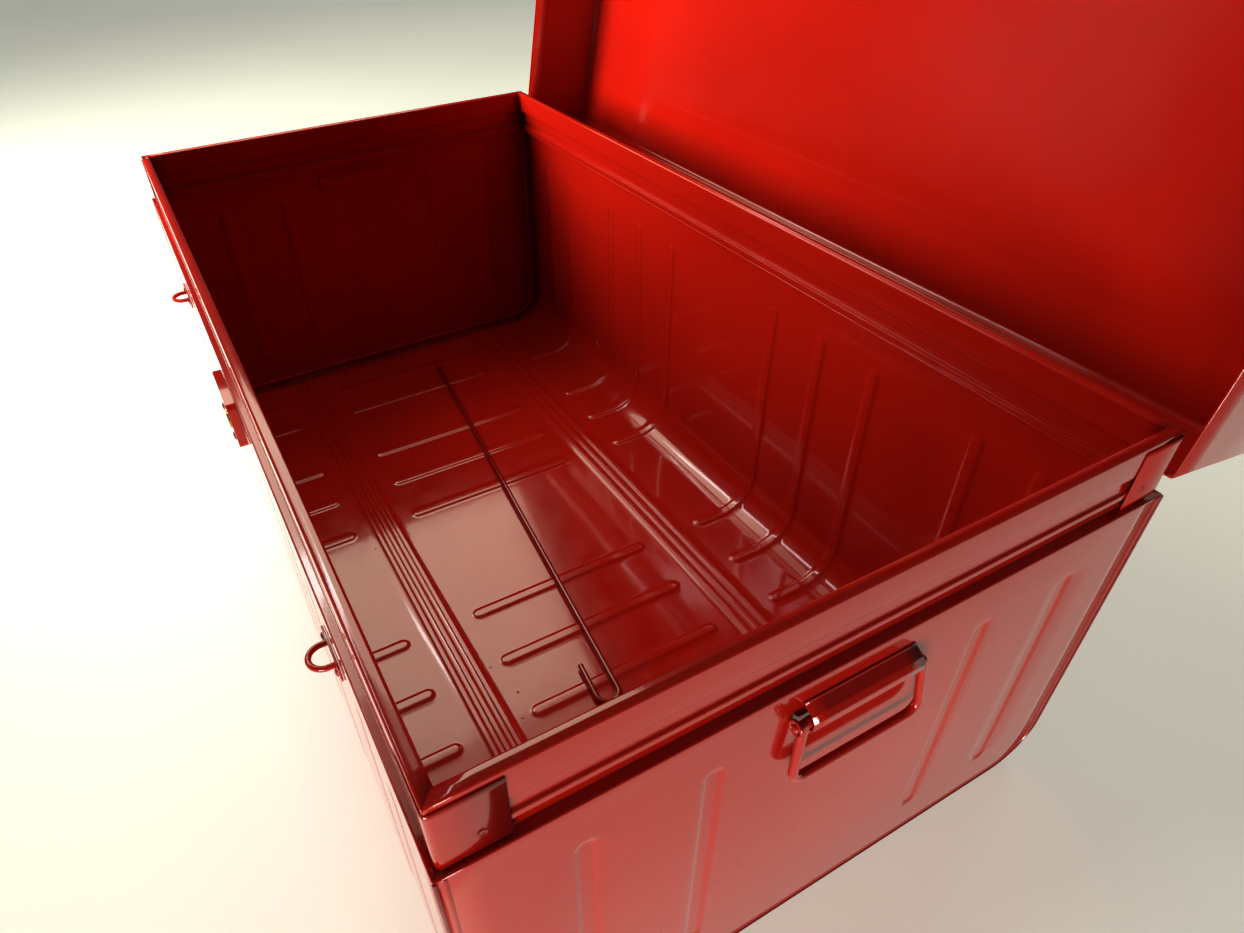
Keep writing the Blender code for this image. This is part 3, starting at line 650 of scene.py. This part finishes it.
def make_corner_caps():
    """Thin bent covers outside the rim's corners, with one small eyelet on each end leg; the eyelet's dark enamel
    in its shallow dip is painted shade for a small hole.
    """
    x, y = HALF_L - CAP_IN, HALF_W - CAP_IN
    plan = fillet([(x, y - CAP_LEG), (x, y), (x - CAP_LEG, y)], CAP_ROUND, 6)
    levels = spread(CAP_LOW, CAP_HIGH, 0.004)
    for tag_x, side_x in (("left", -1), ("right", 1)):
        for tag_y, side_y in (("front", -1), ("back", 1)):
            tag = f"{tag_y}_{tag_x}"
            bm = sheet_grid(levels, plan, lambda z, p: (side_x * p[0], side_y * p[1], z))
            cap = add_piece("rim_corner_" + tag, bm, RED, "trunk_body", ("corner_cap_" + tag,))
            thicken(cap, CAP_SHEET)
            # The eyelet in dark enamel: painted shade for a small hole in the cap.
            eyelet_at = (side_x * (x + EYELET_OUT), side_y * (y - EYELET_BACK), EYELET_Z)
            eyelet = lathe(EYELET, eyelet_at, (side_x, 0, 0), 16)
            add_piece(f"rim_corner_{tag}_eyelet", eyelet, DARK_RED, "trunk_body")


make_wrap()
for tag, side in (("left", -1), ("right", 1)):
    make_end(tag, side)
    make_end_seams(tag, side)
make_corner_caps()
for name, inset, z in RIM_RINGS:
    make_ring(name, inset, z, RING_R, RING_CORNER, "trunk_body", RED)


# ---------------------------------------------------------------- lid

def make_lid():
    """The lid's pan, with straight sides, a rounded edge and a flat panel, and the hem at its foot."""
    plan = round_rect(2 * HALF_L - SHEET, 2 * HALF_W - SHEET, LID_CORNER, 5)
    top = CLOSED_HEIGHT - MID
    section = [(0.0, z) for z in (LID_EDGE + 0.001, *LID_SIDE_MARKS)]
    section += [(LID_ROUND - r, z) for r, z in arc((0, top - LID_ROUND), LID_ROUND, 0, pi / 2, 8)]
    section += [(LID_ROUND + further, top) for further in LID_FLAT_RINGS]
    bm = bmesh.new()
    rings = []
    for inset, z in section:
        ring = [(x - copysign(inset, x), y - copysign(inset, y), z) for x, y in plan]
        rings.append([bm.verts.new(point) for point in ring])
    count = len(plan)
    for low, high in zip(rings, rings[1:]):
        for k in range(count):
            bm.faces.new((low[k], low[(k + 1) % count], high[(k + 1) % count], high[k]))
    bm.faces.new(rings[-1])
    thicken(add_piece("lid_pan", bm, RED, "lid", ("lid_shell",), OPENED, sharp=40))
    make_ring("lid_hem", 0.0009, LID_EDGE + 0.0010, 0.0008, 0.004, "lid", RED, OPENED)


make_lid()


# ---------------------------------------------------------------- handles

# The rolled sheet's section, as (distance out of the end panel, height above the handle's axis)
BARREL_SECTION = (
    (0.0005, 0.0100), (0.0010, 0.0086), (0.0072, 0.0052), (0.0096, 0.0018), (0.0096, -0.0030),
    (0.0078, -0.0052), (0.0036, -0.0054), (0.0012, -0.0036))
BARREL_ROUND = 0.0014
BARREL_SHEET = 0.0010
BARREL_START = -0.0425
BARREL_END = 0.0345

# The wire, with each leg's distance from the handle's middle at its top and at its foot
BAIL_R = 0.0029
LEFT_LEG = (0.0455, 0.0470)
RIGHT_LEG = (0.0385, 0.0455)
BAIL_INSIDE = (-0.012, -0.028)
BAIL_BEND = 0.0035
BAIL_DROP = 0.049
BAIL_LEAN = 0.002
BAIL_CORNER = 0.009
GRIP_MARK = -0.020
WIRE_END = (-0.0455, -0.0512)
WIRE_END_R = 0.0026
EYE_Y = -0.0505
EYE_R = 0.0043
EYE_WIRE_R = 0.0012

# The backing plate, and the waves of its hand-cut upper edge as (height, length, shift)
BACKING_HALF = 0.049
BACKING_TOP = 0.010
BACKING_HEIGHT = 0.014
BACKING_SHEET = 0.0008
BACKING_IN = 0.0014
BACKING_TILT = 0.0010
BACKING_WAVES = ((0.0022, 0.062, 0.010), (0.0008, 0.023, 0.0))


def bail_leg(top, foot):
    """Half of the wire as (y, z): out of the barrel, down one leg and on to the grip."""
    z = HANDLE_AXIS.z
    bottom = z - BAIL_DROP
    half = [(y, z) for y in BAIL_INSIDE]
    half += arc((-top + BAIL_BEND, z - BAIL_BEND), BAIL_BEND, pi / 2, pi, 6)
    half += arc((-foot + BAIL_CORNER, bottom + BAIL_CORNER), BAIL_CORNER, pi, 1.5 * pi, 10)
    return half + [(GRIP_MARK, bottom)]


def bail_line(side):
    """The whole bent wire, which leans out a little towards its grip."""
    flat = bail_leg(*LEFT_LEG) + [(-y, z) for y, z in reversed(bail_leg(*RIGHT_LEG))]
    axis = HANDLE_AXIS
    return [(side * (axis.x + BAIL_LEAN * (axis.z - z) / BAIL_DROP), y, z) for y, z in flat]


def make_wire_end(tag, side):
    """The wire's short end past the left leg, in a small eye on the panel."""
    x = side * HANDLE_AXIS.x
    end = tube([(x, y, HANDLE_AXIS.z) for y in WIRE_END], WIRE_END_R)
    add_piece("handle_wire_end_" + tag, end, RED, "handle_" + tag)
    circle = arc((x, HANDLE_AXIS.z), EYE_R, 0, 2 * pi, 28)
    eye = tube([(px, EYE_Y, pz) for px, pz in circle], EYE_WIRE_R, 12, dome=False)
    add_piece("handle_eye_" + tag, eye, RED, "trunk_body")


def make_backing(tag, side):
    """The plate behind the end panel, flat below and wavy along its upper edge."""

    def spot(row, y):
        wave = sum(height * sin(2 * pi * (y + shift) / length) for height, length, shift in BACKING_WAVES)
        x = HALF_L - SHEET - BACKING_IN + BACKING_TILT * row
        return side * x, y, HANDLE_AXIS.z + BACKING_TOP - BACKING_HEIGHT * row + wave * (1 - row)

    bm = sheet_grid(spread(0, 1, 0.125), spread(-BACKING_HALF, BACKING_HALF, 0.003), spot)
    plate = add_piece("handle_backing_sheet_" + tag, bm, RED, "trunk_body", ("handle_backing_" + tag,))
    thicken(plate, BACKING_SHEET)


def make_handle(tag, side):
    section = fillet(BARREL_SECTION, BARREL_ROUND, 5)
    bm = sheet_grid(section, spread(BARREL_START, BARREL_END, 0.011),
                    lambda p, y: (side * (HALF_L + p[0]), y, HANDLE_AXIS.z + p[1]))
    barrel = add_piece("handle_roll_" + tag, bm, RED, "trunk_body", ("handle_barrel_" + tag,))
    thicken(barrel, BARREL_SHEET)
    wire = tube(bail_line(side), BAIL_R, 18)
    add_piece("handle_wire_" + tag, wire, RED, "handle_" + tag, ("handle_bail_" + tag,))
    make_wire_end(tag, side)
    make_backing(tag, side)


for tag, side in (("left", -1), ("right", 1)):
    make_handle(tag, side)


# ---------------------------------------------------------------- rivets and pins

RIVET_R = 0.0027
BIG_RIVET_R = 0.0034
RIVET_HEIGHT = 0.0017
RIVET_EDGE = 0.0003
RIVET_BACK = 0.0009
PIN_R = 0.0015


def make_rivet(node):
    """A domed rivet head over the CAD one, centred on its box."""
    on_lid = node in frame["record"]["behaviour"]["bodies"]["lid"]
    low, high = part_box(node)
    centre = (low + high) / 2
    if on_lid:
        centre = CLOSED @ centre
    facing = Vector((0, 1 if node.startswith("hinge") else -1, 0))
    radius = BIG_RIVET_R if node.startswith(("hinge", "lock_rivet")) else RIVET_R
    rise = RIVET_HEIGHT - RIVET_EDGE
    dome = [(radius * cos(a), RIVET_EDGE + rise * sin(a)) for a in spread(0, pi / 2, pi / 12)[1:-1]]
    profile = [(0, 0), (radius, 0), (radius, RIVET_EDGE), *dome, (0, RIVET_HEIGHT)]
    bm = lathe(profile, centre - facing * RIVET_BACK, facing, 20)
    body = "lid" if on_lid else "trunk_body"
    add_piece(node + "_head", bm, DARK_RED, body, (node,), OPENED if on_lid else None)


for node in sorted(frame["nodes"]):
    if "rivet" in node:
        make_rivet(node)


def rod_profile(radius, tip, length, edge):
    """The side of a rod whose ends narrow from its radius to the tip's over the edge."""
    return [(0, 0), (tip, 0), (radius, edge), (radius, length - edge), (tip, length), (0, length)]


def pin(name, node, body, centre, length, place=None):
    """A steel pin along X."""
    profile = rod_profile(PIN_R, 0.7 * PIN_R, length, 0.0005)
    bm = lathe(profile, Vector(centre) - Vector((length / 2, 0, 0)), (1, 0, 0), 16)
    add_piece(name, bm, STEEL, body, (node,), place)


# ---------------------------------------------------------------- hinges

def plate(width, height, radius, thickness, origin, outward):
    """A rounded plate in the XZ plane, its back face at the origin, growing outward along Y."""
    turn = Matrix(((1, 0, 0, 0), (0, 0, outward, 0), (0, 1, 0, 0), (0, 0, 0, 1)))
    return prism(round_rect(width, height, radius), Matrix.Translation(origin) @ turn, 0, thickness)


def barrel_between(x_low, x_high, y, z, radius, segments=24):
    """A closed cylinder along X with softened ends."""
    soft = 0.0004
    profile = rod_profile(radius, radius - soft, x_high - x_low, soft)
    return lathe(profile, (x_low, y, z), (1, 0, 0), segments)


def block(low, high):
    centre = [(a + b) / 2 for a, b in zip(low, high)]
    size = [b - a for a, b in zip(low, high)]
    bm = bmesh.new()
    bmesh.ops.create_cube(bm, size=1, matrix=Matrix.Translation(centre) @ Matrix.Diagonal((*size, 1)))
    return bm


def finish_plate(obj, place=None):
    """Softens a fitting's edges and puts it in place."""
    soften(obj, EDGE, 1)
    settle(obj)
    if place is not None:
        obj.data.transform(place)


HINGE_X = 0.300
HINGE_HALF = 0.035
HINGE_MIDDLE = 0.014
KNUCKLE_R = 0.0032
LOWER_LEAF_HEIGHT = 0.034
UPPER_LEAF_HEIGHT = 0.030
UPPER_LEAF_RISE = 0.021
LEAF_CORNER = 0.004
BRIDGE = 0.0022
BRIDGE_HEIGHT = 0.008
HEEL_IN = 0.0021
HEEL_DROP = 0.012


def make_hinge(tag, side):
    """A hinge: the body's leaf with two knuckles, the lid's leaf with one and its heel, and the pin."""
    x = side * HINGE_X
    y, z = HINGE.y, HINGE.z
    face = HALF_W + GAP
    leaf_z = LEDGE_Z - LOWER_LEAF_HEIGHT / 2
    leaf = plate(2 * HINGE_HALF, LOWER_LEAF_HEIGHT, LEAF_CORNER, LEAF, (x, face, leaf_z), 1)
    lower = add_piece("hinge_body_leaf_" + tag, leaf, RED, "trunk_body", ("hinge_lower_leaf_" + tag,))
    joins = []
    for x_low, x_high in ((x - HINGE_HALF, x - HINGE_MIDDLE), (x + HINGE_MIDDLE, x + HINGE_HALF)):
        joins.append(block((x_low, face, z - BRIDGE_HEIGHT), (x_high, face + BRIDGE, z)))
        joins.append(barrel_between(x_low, x_high, y, z, KNUCKLE_R))
    carve(lower, joins, "UNION")
    finish_plate(lower)

    x_low, x_high = x - HINGE_MIDDLE + GAP, x + HINGE_MIDDLE - GAP
    leaf_z = z + UPPER_LEAF_RISE
    leaf = plate(2 * HINGE_HALF, UPPER_LEAF_HEIGHT, LEAF_CORNER, LEAF, (x, face, leaf_z), 1)
    upper = add_piece("hinge_lid_leaf_" + tag, leaf, RED, "lid", ("hinge_upper_leaf_" + tag,))
    heel = block((x_low, HALF_W + HEEL_IN, z - HEEL_DROP), (x_high, y - GAP, z))
    heel.transform(CLOSED)
    bridge = block((x_low, face, z), (x_high, face + BRIDGE, z + BRIDGE_HEIGHT))
    carve(upper, [bridge, barrel_between(x_low, x_high, y, z, KNUCKLE_R), heel], "UNION")
    finish_plate(upper, OPENED)
    pin("hinge_rod_" + tag, "hinge_pin_" + tag, "trunk_body", (x, y, z), 2 * HINGE_HALF + 0.001)


for tag, side in (("left", -1), ("right", 1)):
    make_hinge(tag, side)


# ---------------------------------------------------------------- hasps, staples and lock

HASP_X = 0.270
HASP_HALF = 0.018
HASP_KNUCKLE = 0.00275
HASP_TIP = 0.009
HASP_REACH = 0.062
STAPLE_HALF = 0.0095
STAPLE_ROOT = 0.0003
STAPLE_NECK = 0.0041
STAPLE_WIRE_R = 0.002


def make_hasp_mount(name, node, x, axis):
    """A hasp's plate on the lid, with a knuckle at each end."""
    y, z = axis.y, axis.z
    low, high = z + 0.0055, z + 0.030
    bm = plate(2 * HASP_HALF, high - low, 0.003, LEAF, (x, FRONT_FACE, (low + high) / 2), -1)
    mount = add_piece(name, bm, RED, "lid", (node,))
    joins = []
    for x_low, x_high in ((x - HASP_HALF, x - HASP_HALF / 2), (x + HASP_HALF / 2, x + HASP_HALF)):
        joins.append(block((x_low, FRONT_FACE - LEAF, z - 0.001), (x_high, FRONT_FACE, z + 0.009)))
        joins.append(block((x_low, y, z - 0.001), (x_high, FRONT_FACE, z + 0.001)))
        joins.append(barrel_between(x_low, x_high, y, z, HASP_KNUCKLE, 20))
    carve(mount, joins, "UNION")
    finish_plate(mount, OPENED)


def make_strap(name, node, x, axis, reach, body, cuts, joins):
    """A hasp strap, folded back on the lid, with rounded corners at its tip."""
    y, z = axis.y, axis.z
    x_low, x_high = x - HASP_HALF / 2 + GAP, x + HASP_HALF / 2 - GAP
    low, high = z + 0.0042, z + reach
    outline = [(-HASP_HALF, low), (HASP_HALF, low)]
    outline += arc((HASP_HALF - HASP_TIP, high - HASP_TIP), HASP_TIP, 0, pi / 2, 8)
    outline += arc((-HASP_HALF + HASP_TIP, high - HASP_TIP), HASP_TIP, pi / 2, pi, 8)
    turn = Matrix(((1, 0, 0, x), (0, 0, 1, y - STRAP / 2), (0, 1, 0, 0), (0, 0, 0, 1)))
    strap = add_piece(name, prism(outline, turn, 0, STRAP), RED, body, (node,))
    bridge = block((x_low, y - STRAP / 2, z), (x_high, y + STRAP / 2, z + 0.006))
    carve(strap, [bridge, barrel_between(x_low, x_high, y, z, HASP_KNUCKLE, 20)] + joins, "UNION")
    if cuts:
        carve(strap, cuts)
    finish_plate(strap, OPENED)


def slot_cut(x, axis, z, width, height):
    turn = Matrix(((1, 0, 0, x), (0, 0, 1, axis.y), (0, 1, 0, z), (0, 0, 0, 1)))
    return prism(round_rect(width, height, height * 0.45), turn, -0.004, 0.004)


def make_staple(tag, x, z):
    """A plate on the front wall and the wire loop that stands out of it."""
    bm = plate(0.040, 0.015, 0.005, LEAF, (x, FRONT_FACE, z), -1)
    base = add_piece("staple_base_" + tag, bm, RED, "trunk_body", ("staple_plate_" + tag,))
    soften(base, 0.0005, 2)
    settle(base)
    start = FRONT_FACE - LEAF + STAPLE_ROOT
    bend = start - STAPLE_NECK
    middle = (start + bend) / 2
    loop = [(x - STAPLE_HALF, start), (x - STAPLE_HALF, middle)]
    loop += arc((x, bend), STAPLE_HALF, pi, 2 * pi, 24)
    loop += [(x + STAPLE_HALF, middle), (x + STAPLE_HALF, start)]
    wire = tube([(px, py, z) for px, py in loop], STAPLE_WIRE_R, 16, dome=False)
    add_piece("staple_wire_" + tag, wire, RED, "trunk_body", ("staple_loop_" + tag,))


def make_side_fastening(tag, side):
    x = side * HASP_X
    axis = Vector((x, SIDE_HASP_AXIS.y, SIDE_HASP_AXIS.z))
    staple_low, staple_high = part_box("staple_loop_" + tag)
    staple_z = (staple_low.z + staple_high.z) / 2
    make_hasp_mount("hasp_plate_" + tag, "hasp_mount_" + tag, x, axis)
    pin("hasp_rod_" + tag, "hasp_pin_" + tag, "lid", axis, 2 * HASP_HALF, OPENED)
    slot = slot_cut(x, axis, 2 * axis.z - staple_z, 0.027, 0.012)
    strap = "hasp_strap_" + tag
    make_strap("hasp_tongue_" + tag, strap, x, axis, HASP_REACH, "hasp_" + tag, [slot], [])
    make_staple(tag, x, staple_z)


CASE_WIDTH = 0.064
CASE_DEPTH = 0.007
CASE_WALL = 0.0015
LOCK_EYE_Z = 0.256
WINDOW_HALF_X = 0.005
WINDOW_HALF_Z = 0.0065
CYLINDER_R = 0.005
CYLINDER_LENGTH = 0.0069
CYLINDER_OUT = 0.0008
BOLT_R = 0.0017
BOLT_TIP_R = 0.0012


def make_lock_case():
    """A hollow box with a window in its front for the hasp's eye."""
    low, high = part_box("lock_case")
    front = FRONT_FACE - CASE_DEPTH
    middle = (0, FRONT_FACE, (low.z + high.z) / 2)
    bm = plate(CASE_WIDTH, high.z - low.z, 0.005, CASE_DEPTH, middle, -1)
    case = add_piece("lock_housing", bm, RED, "trunk_body", ("lock_case",))
    half = CASE_WIDTH / 2 - CASE_WALL
    hollow = block((-half, front + CASE_WALL, low.z + CASE_WALL),
                   (half, FRONT_FACE + 0.002, high.z - CASE_WALL))
    window = block((-WINDOW_HALF_X, front - 0.002, LOCK_EYE_Z - WINDOW_HALF_Z),
                   (WINDOW_HALF_X, FRONT_FACE - 0.003, LOCK_EYE_Z + WINDOW_HALF_Z))
    carve(case, [hollow, window])
    soften(case, 0.0010, 3)
    settle(case)


def make_lock_cylinder():
    """The key cylinder with its slot, in a brass ring."""
    z = JOINTS["lock_turn"]["pos_m"][2]
    front = FRONT_FACE - CASE_DEPTH
    inner, step, outer = CYLINDER_R + GAP, CYLINDER_R + 0.0012, CYLINDER_R + 0.0022
    section = [(inner, 0), (outer, 0), (outer, 0.0006), (step, 0.0013), (inner, 0.0013), (inner, 0)]
    add_piece("lock_escutcheon", lathe(section, (0, front, z), (0, -1, 0), 32), BRASS, "trunk_body")
    edge = 0.0007
    profile = [(0, 0), (CYLINDER_R, 0), (CYLINDER_R, CYLINDER_LENGTH - edge)]
    profile += [(CYLINDER_R - edge, CYLINDER_LENGTH), (0, CYLINDER_LENGTH)]
    tip = front - CYLINDER_OUT
    bm = lathe(profile, (0, tip + CYLINDER_LENGTH, z), (0, -1, 0), 32)
    cylinder = add_piece("lock_barrel", bm, BRASS, "lock_cylinder", ("lock_cylinder",))
    carve(cylinder, [block((-0.0006, tip - 0.002, z - 0.003), (0.0006, tip + 0.0035, z + 0.003))])


def make_lock_bolt(low, high):
    length = high.x - low.x
    profile = [(0, 0), (BOLT_TIP_R, 0), (BOLT_R, 0.0006), (BOLT_R, length), (0, length)]
    bm = lathe(profile, (low.x, (low.y + high.y) / 2, (low.z + high.z) / 2), (1, 0, 0), 20)
    add_piece("lock_bolt_bar", bm, STEEL, "lock_bolt", ("lock_bolt",))


def make_lock_hasp(bolt_y):
    """The lock's hasp, whose eye takes the bolt when the lid is closed and the strap hangs down."""
    axis = Vector((0, LOCK_HASP_AXIS.y, LOCK_HASP_AXIS.z))
    make_hasp_mount("lock_hasp_plate", "lock_hasp_mount", 0, axis)
    pin("lock_hasp_rod", "lock_hasp_pin", "lid", axis, 2 * HASP_HALF, OPENED)
    eye_z = 2 * axis.z - LOCK_EYE_Z
    eye_y = 2 * axis.y + HALF_W + 0.0013
    eye = block((-0.003, eye_y, eye_z - 0.0045), (0.003, axis.y, eye_z + 0.0045))
    hole = barrel_between(-0.006, 0.006, 2 * axis.y - bolt_y, eye_z, 0.0022, 20)
    reach = axis.z - LOCK_EYE_Z + 0.010
    make_strap("lock_hasp_tongue", "lock_hasp_strap", 0, axis, reach, "lock_hasp", [hole], [eye])


def make_lock():
    make_lock_case()
    make_lock_cylinder()
    bolt_low, bolt_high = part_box("lock_bolt")
    make_lock_bolt(bolt_low, bolt_high)
    make_lock_hasp((bolt_low.y + bolt_high.y) / 2)


for tag, side in (("left", -1), ("right", 1)):
    make_side_fastening(tag, side)
make_lock()


# ---------------------------------------------------------------- loose rod

ROD_R = 0.00275
ROD_Z = SHEET + RIB_HEIGHT + GAP + ROD_R
ROD_START = Vector((-0.349, 0.040))
ROD_END = Vector((0.234, -0.0215))
ROD_TAIL = Vector((0.015, 0))
HOOK_R = 0.0105
HOOK_LEG = 0.036


def make_rod():
    """The loose rod on the floor: a bent tail, a straight shank and a hook at its near end."""
    along = (ROD_END - ROD_START).normalized()
    across = Vector((along.y, -along.x))
    centre = ROD_END + across * HOOK_R
    turns = [pi / 2 - turn for turn in spread(0, pi, pi / 18)]
    hook = [centre + (along * cos(t) - across * sin(t)) * HOOK_R for t in turns]
    tail = ROD_START - ROD_TAIL
    shank = [ROD_START.lerp(ROD_END, t) for t in spread(0.0, 0.98, 0.05)]
    line = [tail, tail.lerp(ROD_START, 0.6)] + shank[1:] + hook
    line += [hook[-1] - along * HOOK_LEG / 2, hook[-1] - along * HOOK_LEG]
    bm = tube([(p.x, p.y, ROD_Z) for p in line], ROD_R, 16)
    add_piece("stay_rod_wire", bm, DARK_RED, "stay_rod", ("stay_rod",))


make_rod()


# Dark enamel dots on the floor as (x, y), mostly near the rib ends: painted shade for small dimples.
SHADE_DOT_PLACES = (
    (0.2165, 0.152), (0.087, 0.152), (-0.060, 0.153), (0.190, -0.100), (-0.055, -0.153),
    (-0.059, -0.113), (0.324, -0.108), (0.379, -0.160), (0.2165, -0.108), (0.1524, -0.110))
SPOT_R = 0.0010
SPOT_SPREAD = 0.0003


def make_painted_shade_dots():
    """Small dark dots on the floor, mostly near the rib ends: painted shade for little dimples."""
    bm = bmesh.new()
    for number, (x, y) in enumerate(SHADE_DOT_PLACES):
        r = SPOT_R + SPOT_SPREAD * sin(number * 2.4)
        profile = [(0, -0.0004), (r, -0.0004), (r, 0.0001), (r * 0.7, 0.0004), (0, 0.0005)]
        shade_dot = lathe(profile, (x, y, SHEET), (0, 0, 1), 14)
        mesh = bpy.data.meshes.new("shade_dot")
        shade_dot.to_mesh(mesh)
        shade_dot.free()
        bm.from_mesh(mesh)
        bpy.data.meshes.remove(mesh)
    add_piece("painted_shade_dots", bm, DARK_RED, "trunk_body")


make_painted_shade_dots()


# ---------------------------------------------------------------- setting

FLOOR_GLOW = 0.52
FLOOR_SIZE = 9
FLOOR_GAP = 0.0008
WORLD_GLOW = 0.07
CREAM = (1, 0.97, 0.76)
WARM = (1, 0.95, 0.86)
CAMERA_PLACE = (0.6173, -0.2534, 0.6138)
CAMERA_TURN = (50.482, 1.536, 61.053)
CAMERA_LENS = 23.73
CAMERA_SHIFT = (0.0336, 0.0124)


def make_floor():
    bpy.ops.mesh.primitive_plane_add(size=FLOOR_SIZE, location=(0, 0, -FLOOR_GAP))
    floor = bpy.context.object
    floor.name = "studio_floor"
    made, tree, shader = new_material("studio_white")
    field = noise_field(tree, 1.2, 2.0)
    tone = mixed(tree, mapped(tree, field, 0, 1), (0.79, 0.80, 0.71, 1), (0.83, 0.84, 0.75, 1))
    tree.links.new(tone, shader.inputs["Base Color"])
    tree.links.new(tone, shader.inputs["Emission Color"])
    shader.inputs["Emission Strength"].default_value = FLOOR_GLOW
    shader.inputs["Roughness"].default_value = 0.6
    floor.data.materials.append(made)


def area_light(name, place, aim, size, power, colour=(1, 1, 1), reach=180, mirrored=True):
    """A soft panel turned to a point, lighting a cone of so many degrees, mirrored in gloss or not."""
    light = bpy.data.lights.new(name, "AREA")
    light.shape = "RECTANGLE"
    light.size, light.size_y = size
    light.energy = power
    light.color = colour
    light.spread = radians(reach)
    obj = bpy.data.objects.new(name, light)
    obj.visible_glossy = mirrored
    obj.location = place
    obj.rotation_euler = (Vector(aim) - Vector(place)).to_track_quat("-Z", "Y").to_euler()
    bpy.context.scene.collection.objects.link(obj)


def make_world(strength):
    world = bpy.data.worlds.new("studio")
    world.use_nodes = True
    back = world.node_tree.nodes["Background"]
    back.inputs["Color"].default_value = (1, 0.99, 0.97, 1)
    back.inputs["Strength"].default_value = strength
    bpy.context.scene.world = world


def make_camera():
    camera = bpy.data.cameras.new("camera")
    camera.sensor_width = 36
    camera.lens = CAMERA_LENS
    camera.shift_x, camera.shift_y = CAMERA_SHIFT
    obj = bpy.data.objects.new("camera", camera)
    obj.location = CAMERA_PLACE
    obj.rotation_euler = [radians(turn) for turn in CAMERA_TURN]
    bpy.context.scene.collection.objects.link(obj)
    bpy.context.scene.camera = obj


def make_lights():
    area_light("key_front", place=(-0.75, -1.0, 0.66), aim=(-0.50, 0.3, 0.44), size=(0.6, 0.5),
               power=8.5, reach=82, mirrored=False)
    area_light("left_panel", place=(-1.80, 0.05, 2.0), aim=(-0.16, 0.05, 0.05), size=(1.55, 1.2),
               power=21, colour=CREAM)
    area_light("left_panel_top", place=(-1.15, 0.05, 2.55), aim=(0.46, 0.05, 0.64), size=(1.55, 0.5),
               power=3, colour=CREAM)
    area_light("right_low", place=(1.5, -1.1, 0.16), aim=(0.46, -0.1, 0.12), size=(0.8, 0.3),
               power=3.6, colour=WARM, reach=70)
    area_light("overhead", place=(-0.35, -0.05, 2.3), aim=(0, -0.05, 0), size=(0.5, 0.5),
               power=1.2, reach=70, mirrored=False)
    area_light("floor_wash", place=(-1.3, -1.3, 1.6), aim=(-1.15, -0.8, 0), size=(1.0, 1.0),
               power=9, reach=95, mirrored=False)
    area_light("rim_strip", place=(-1.3, -0.75, 1.95), aim=(0, 0.2, 0.3), size=(1.4, 0.15), power=5.5)
    area_light("back", place=(-0.2, 1.8, 1.6), aim=(0, 0, 0.25), size=(0.6, 0.35), power=3)


make_floor()
make_world(WORLD_GLOW)
make_lights()
make_camera()

view = bpy.context.scene.view_settings
view.view_transform = "Standard"
view.gamma = 0.76
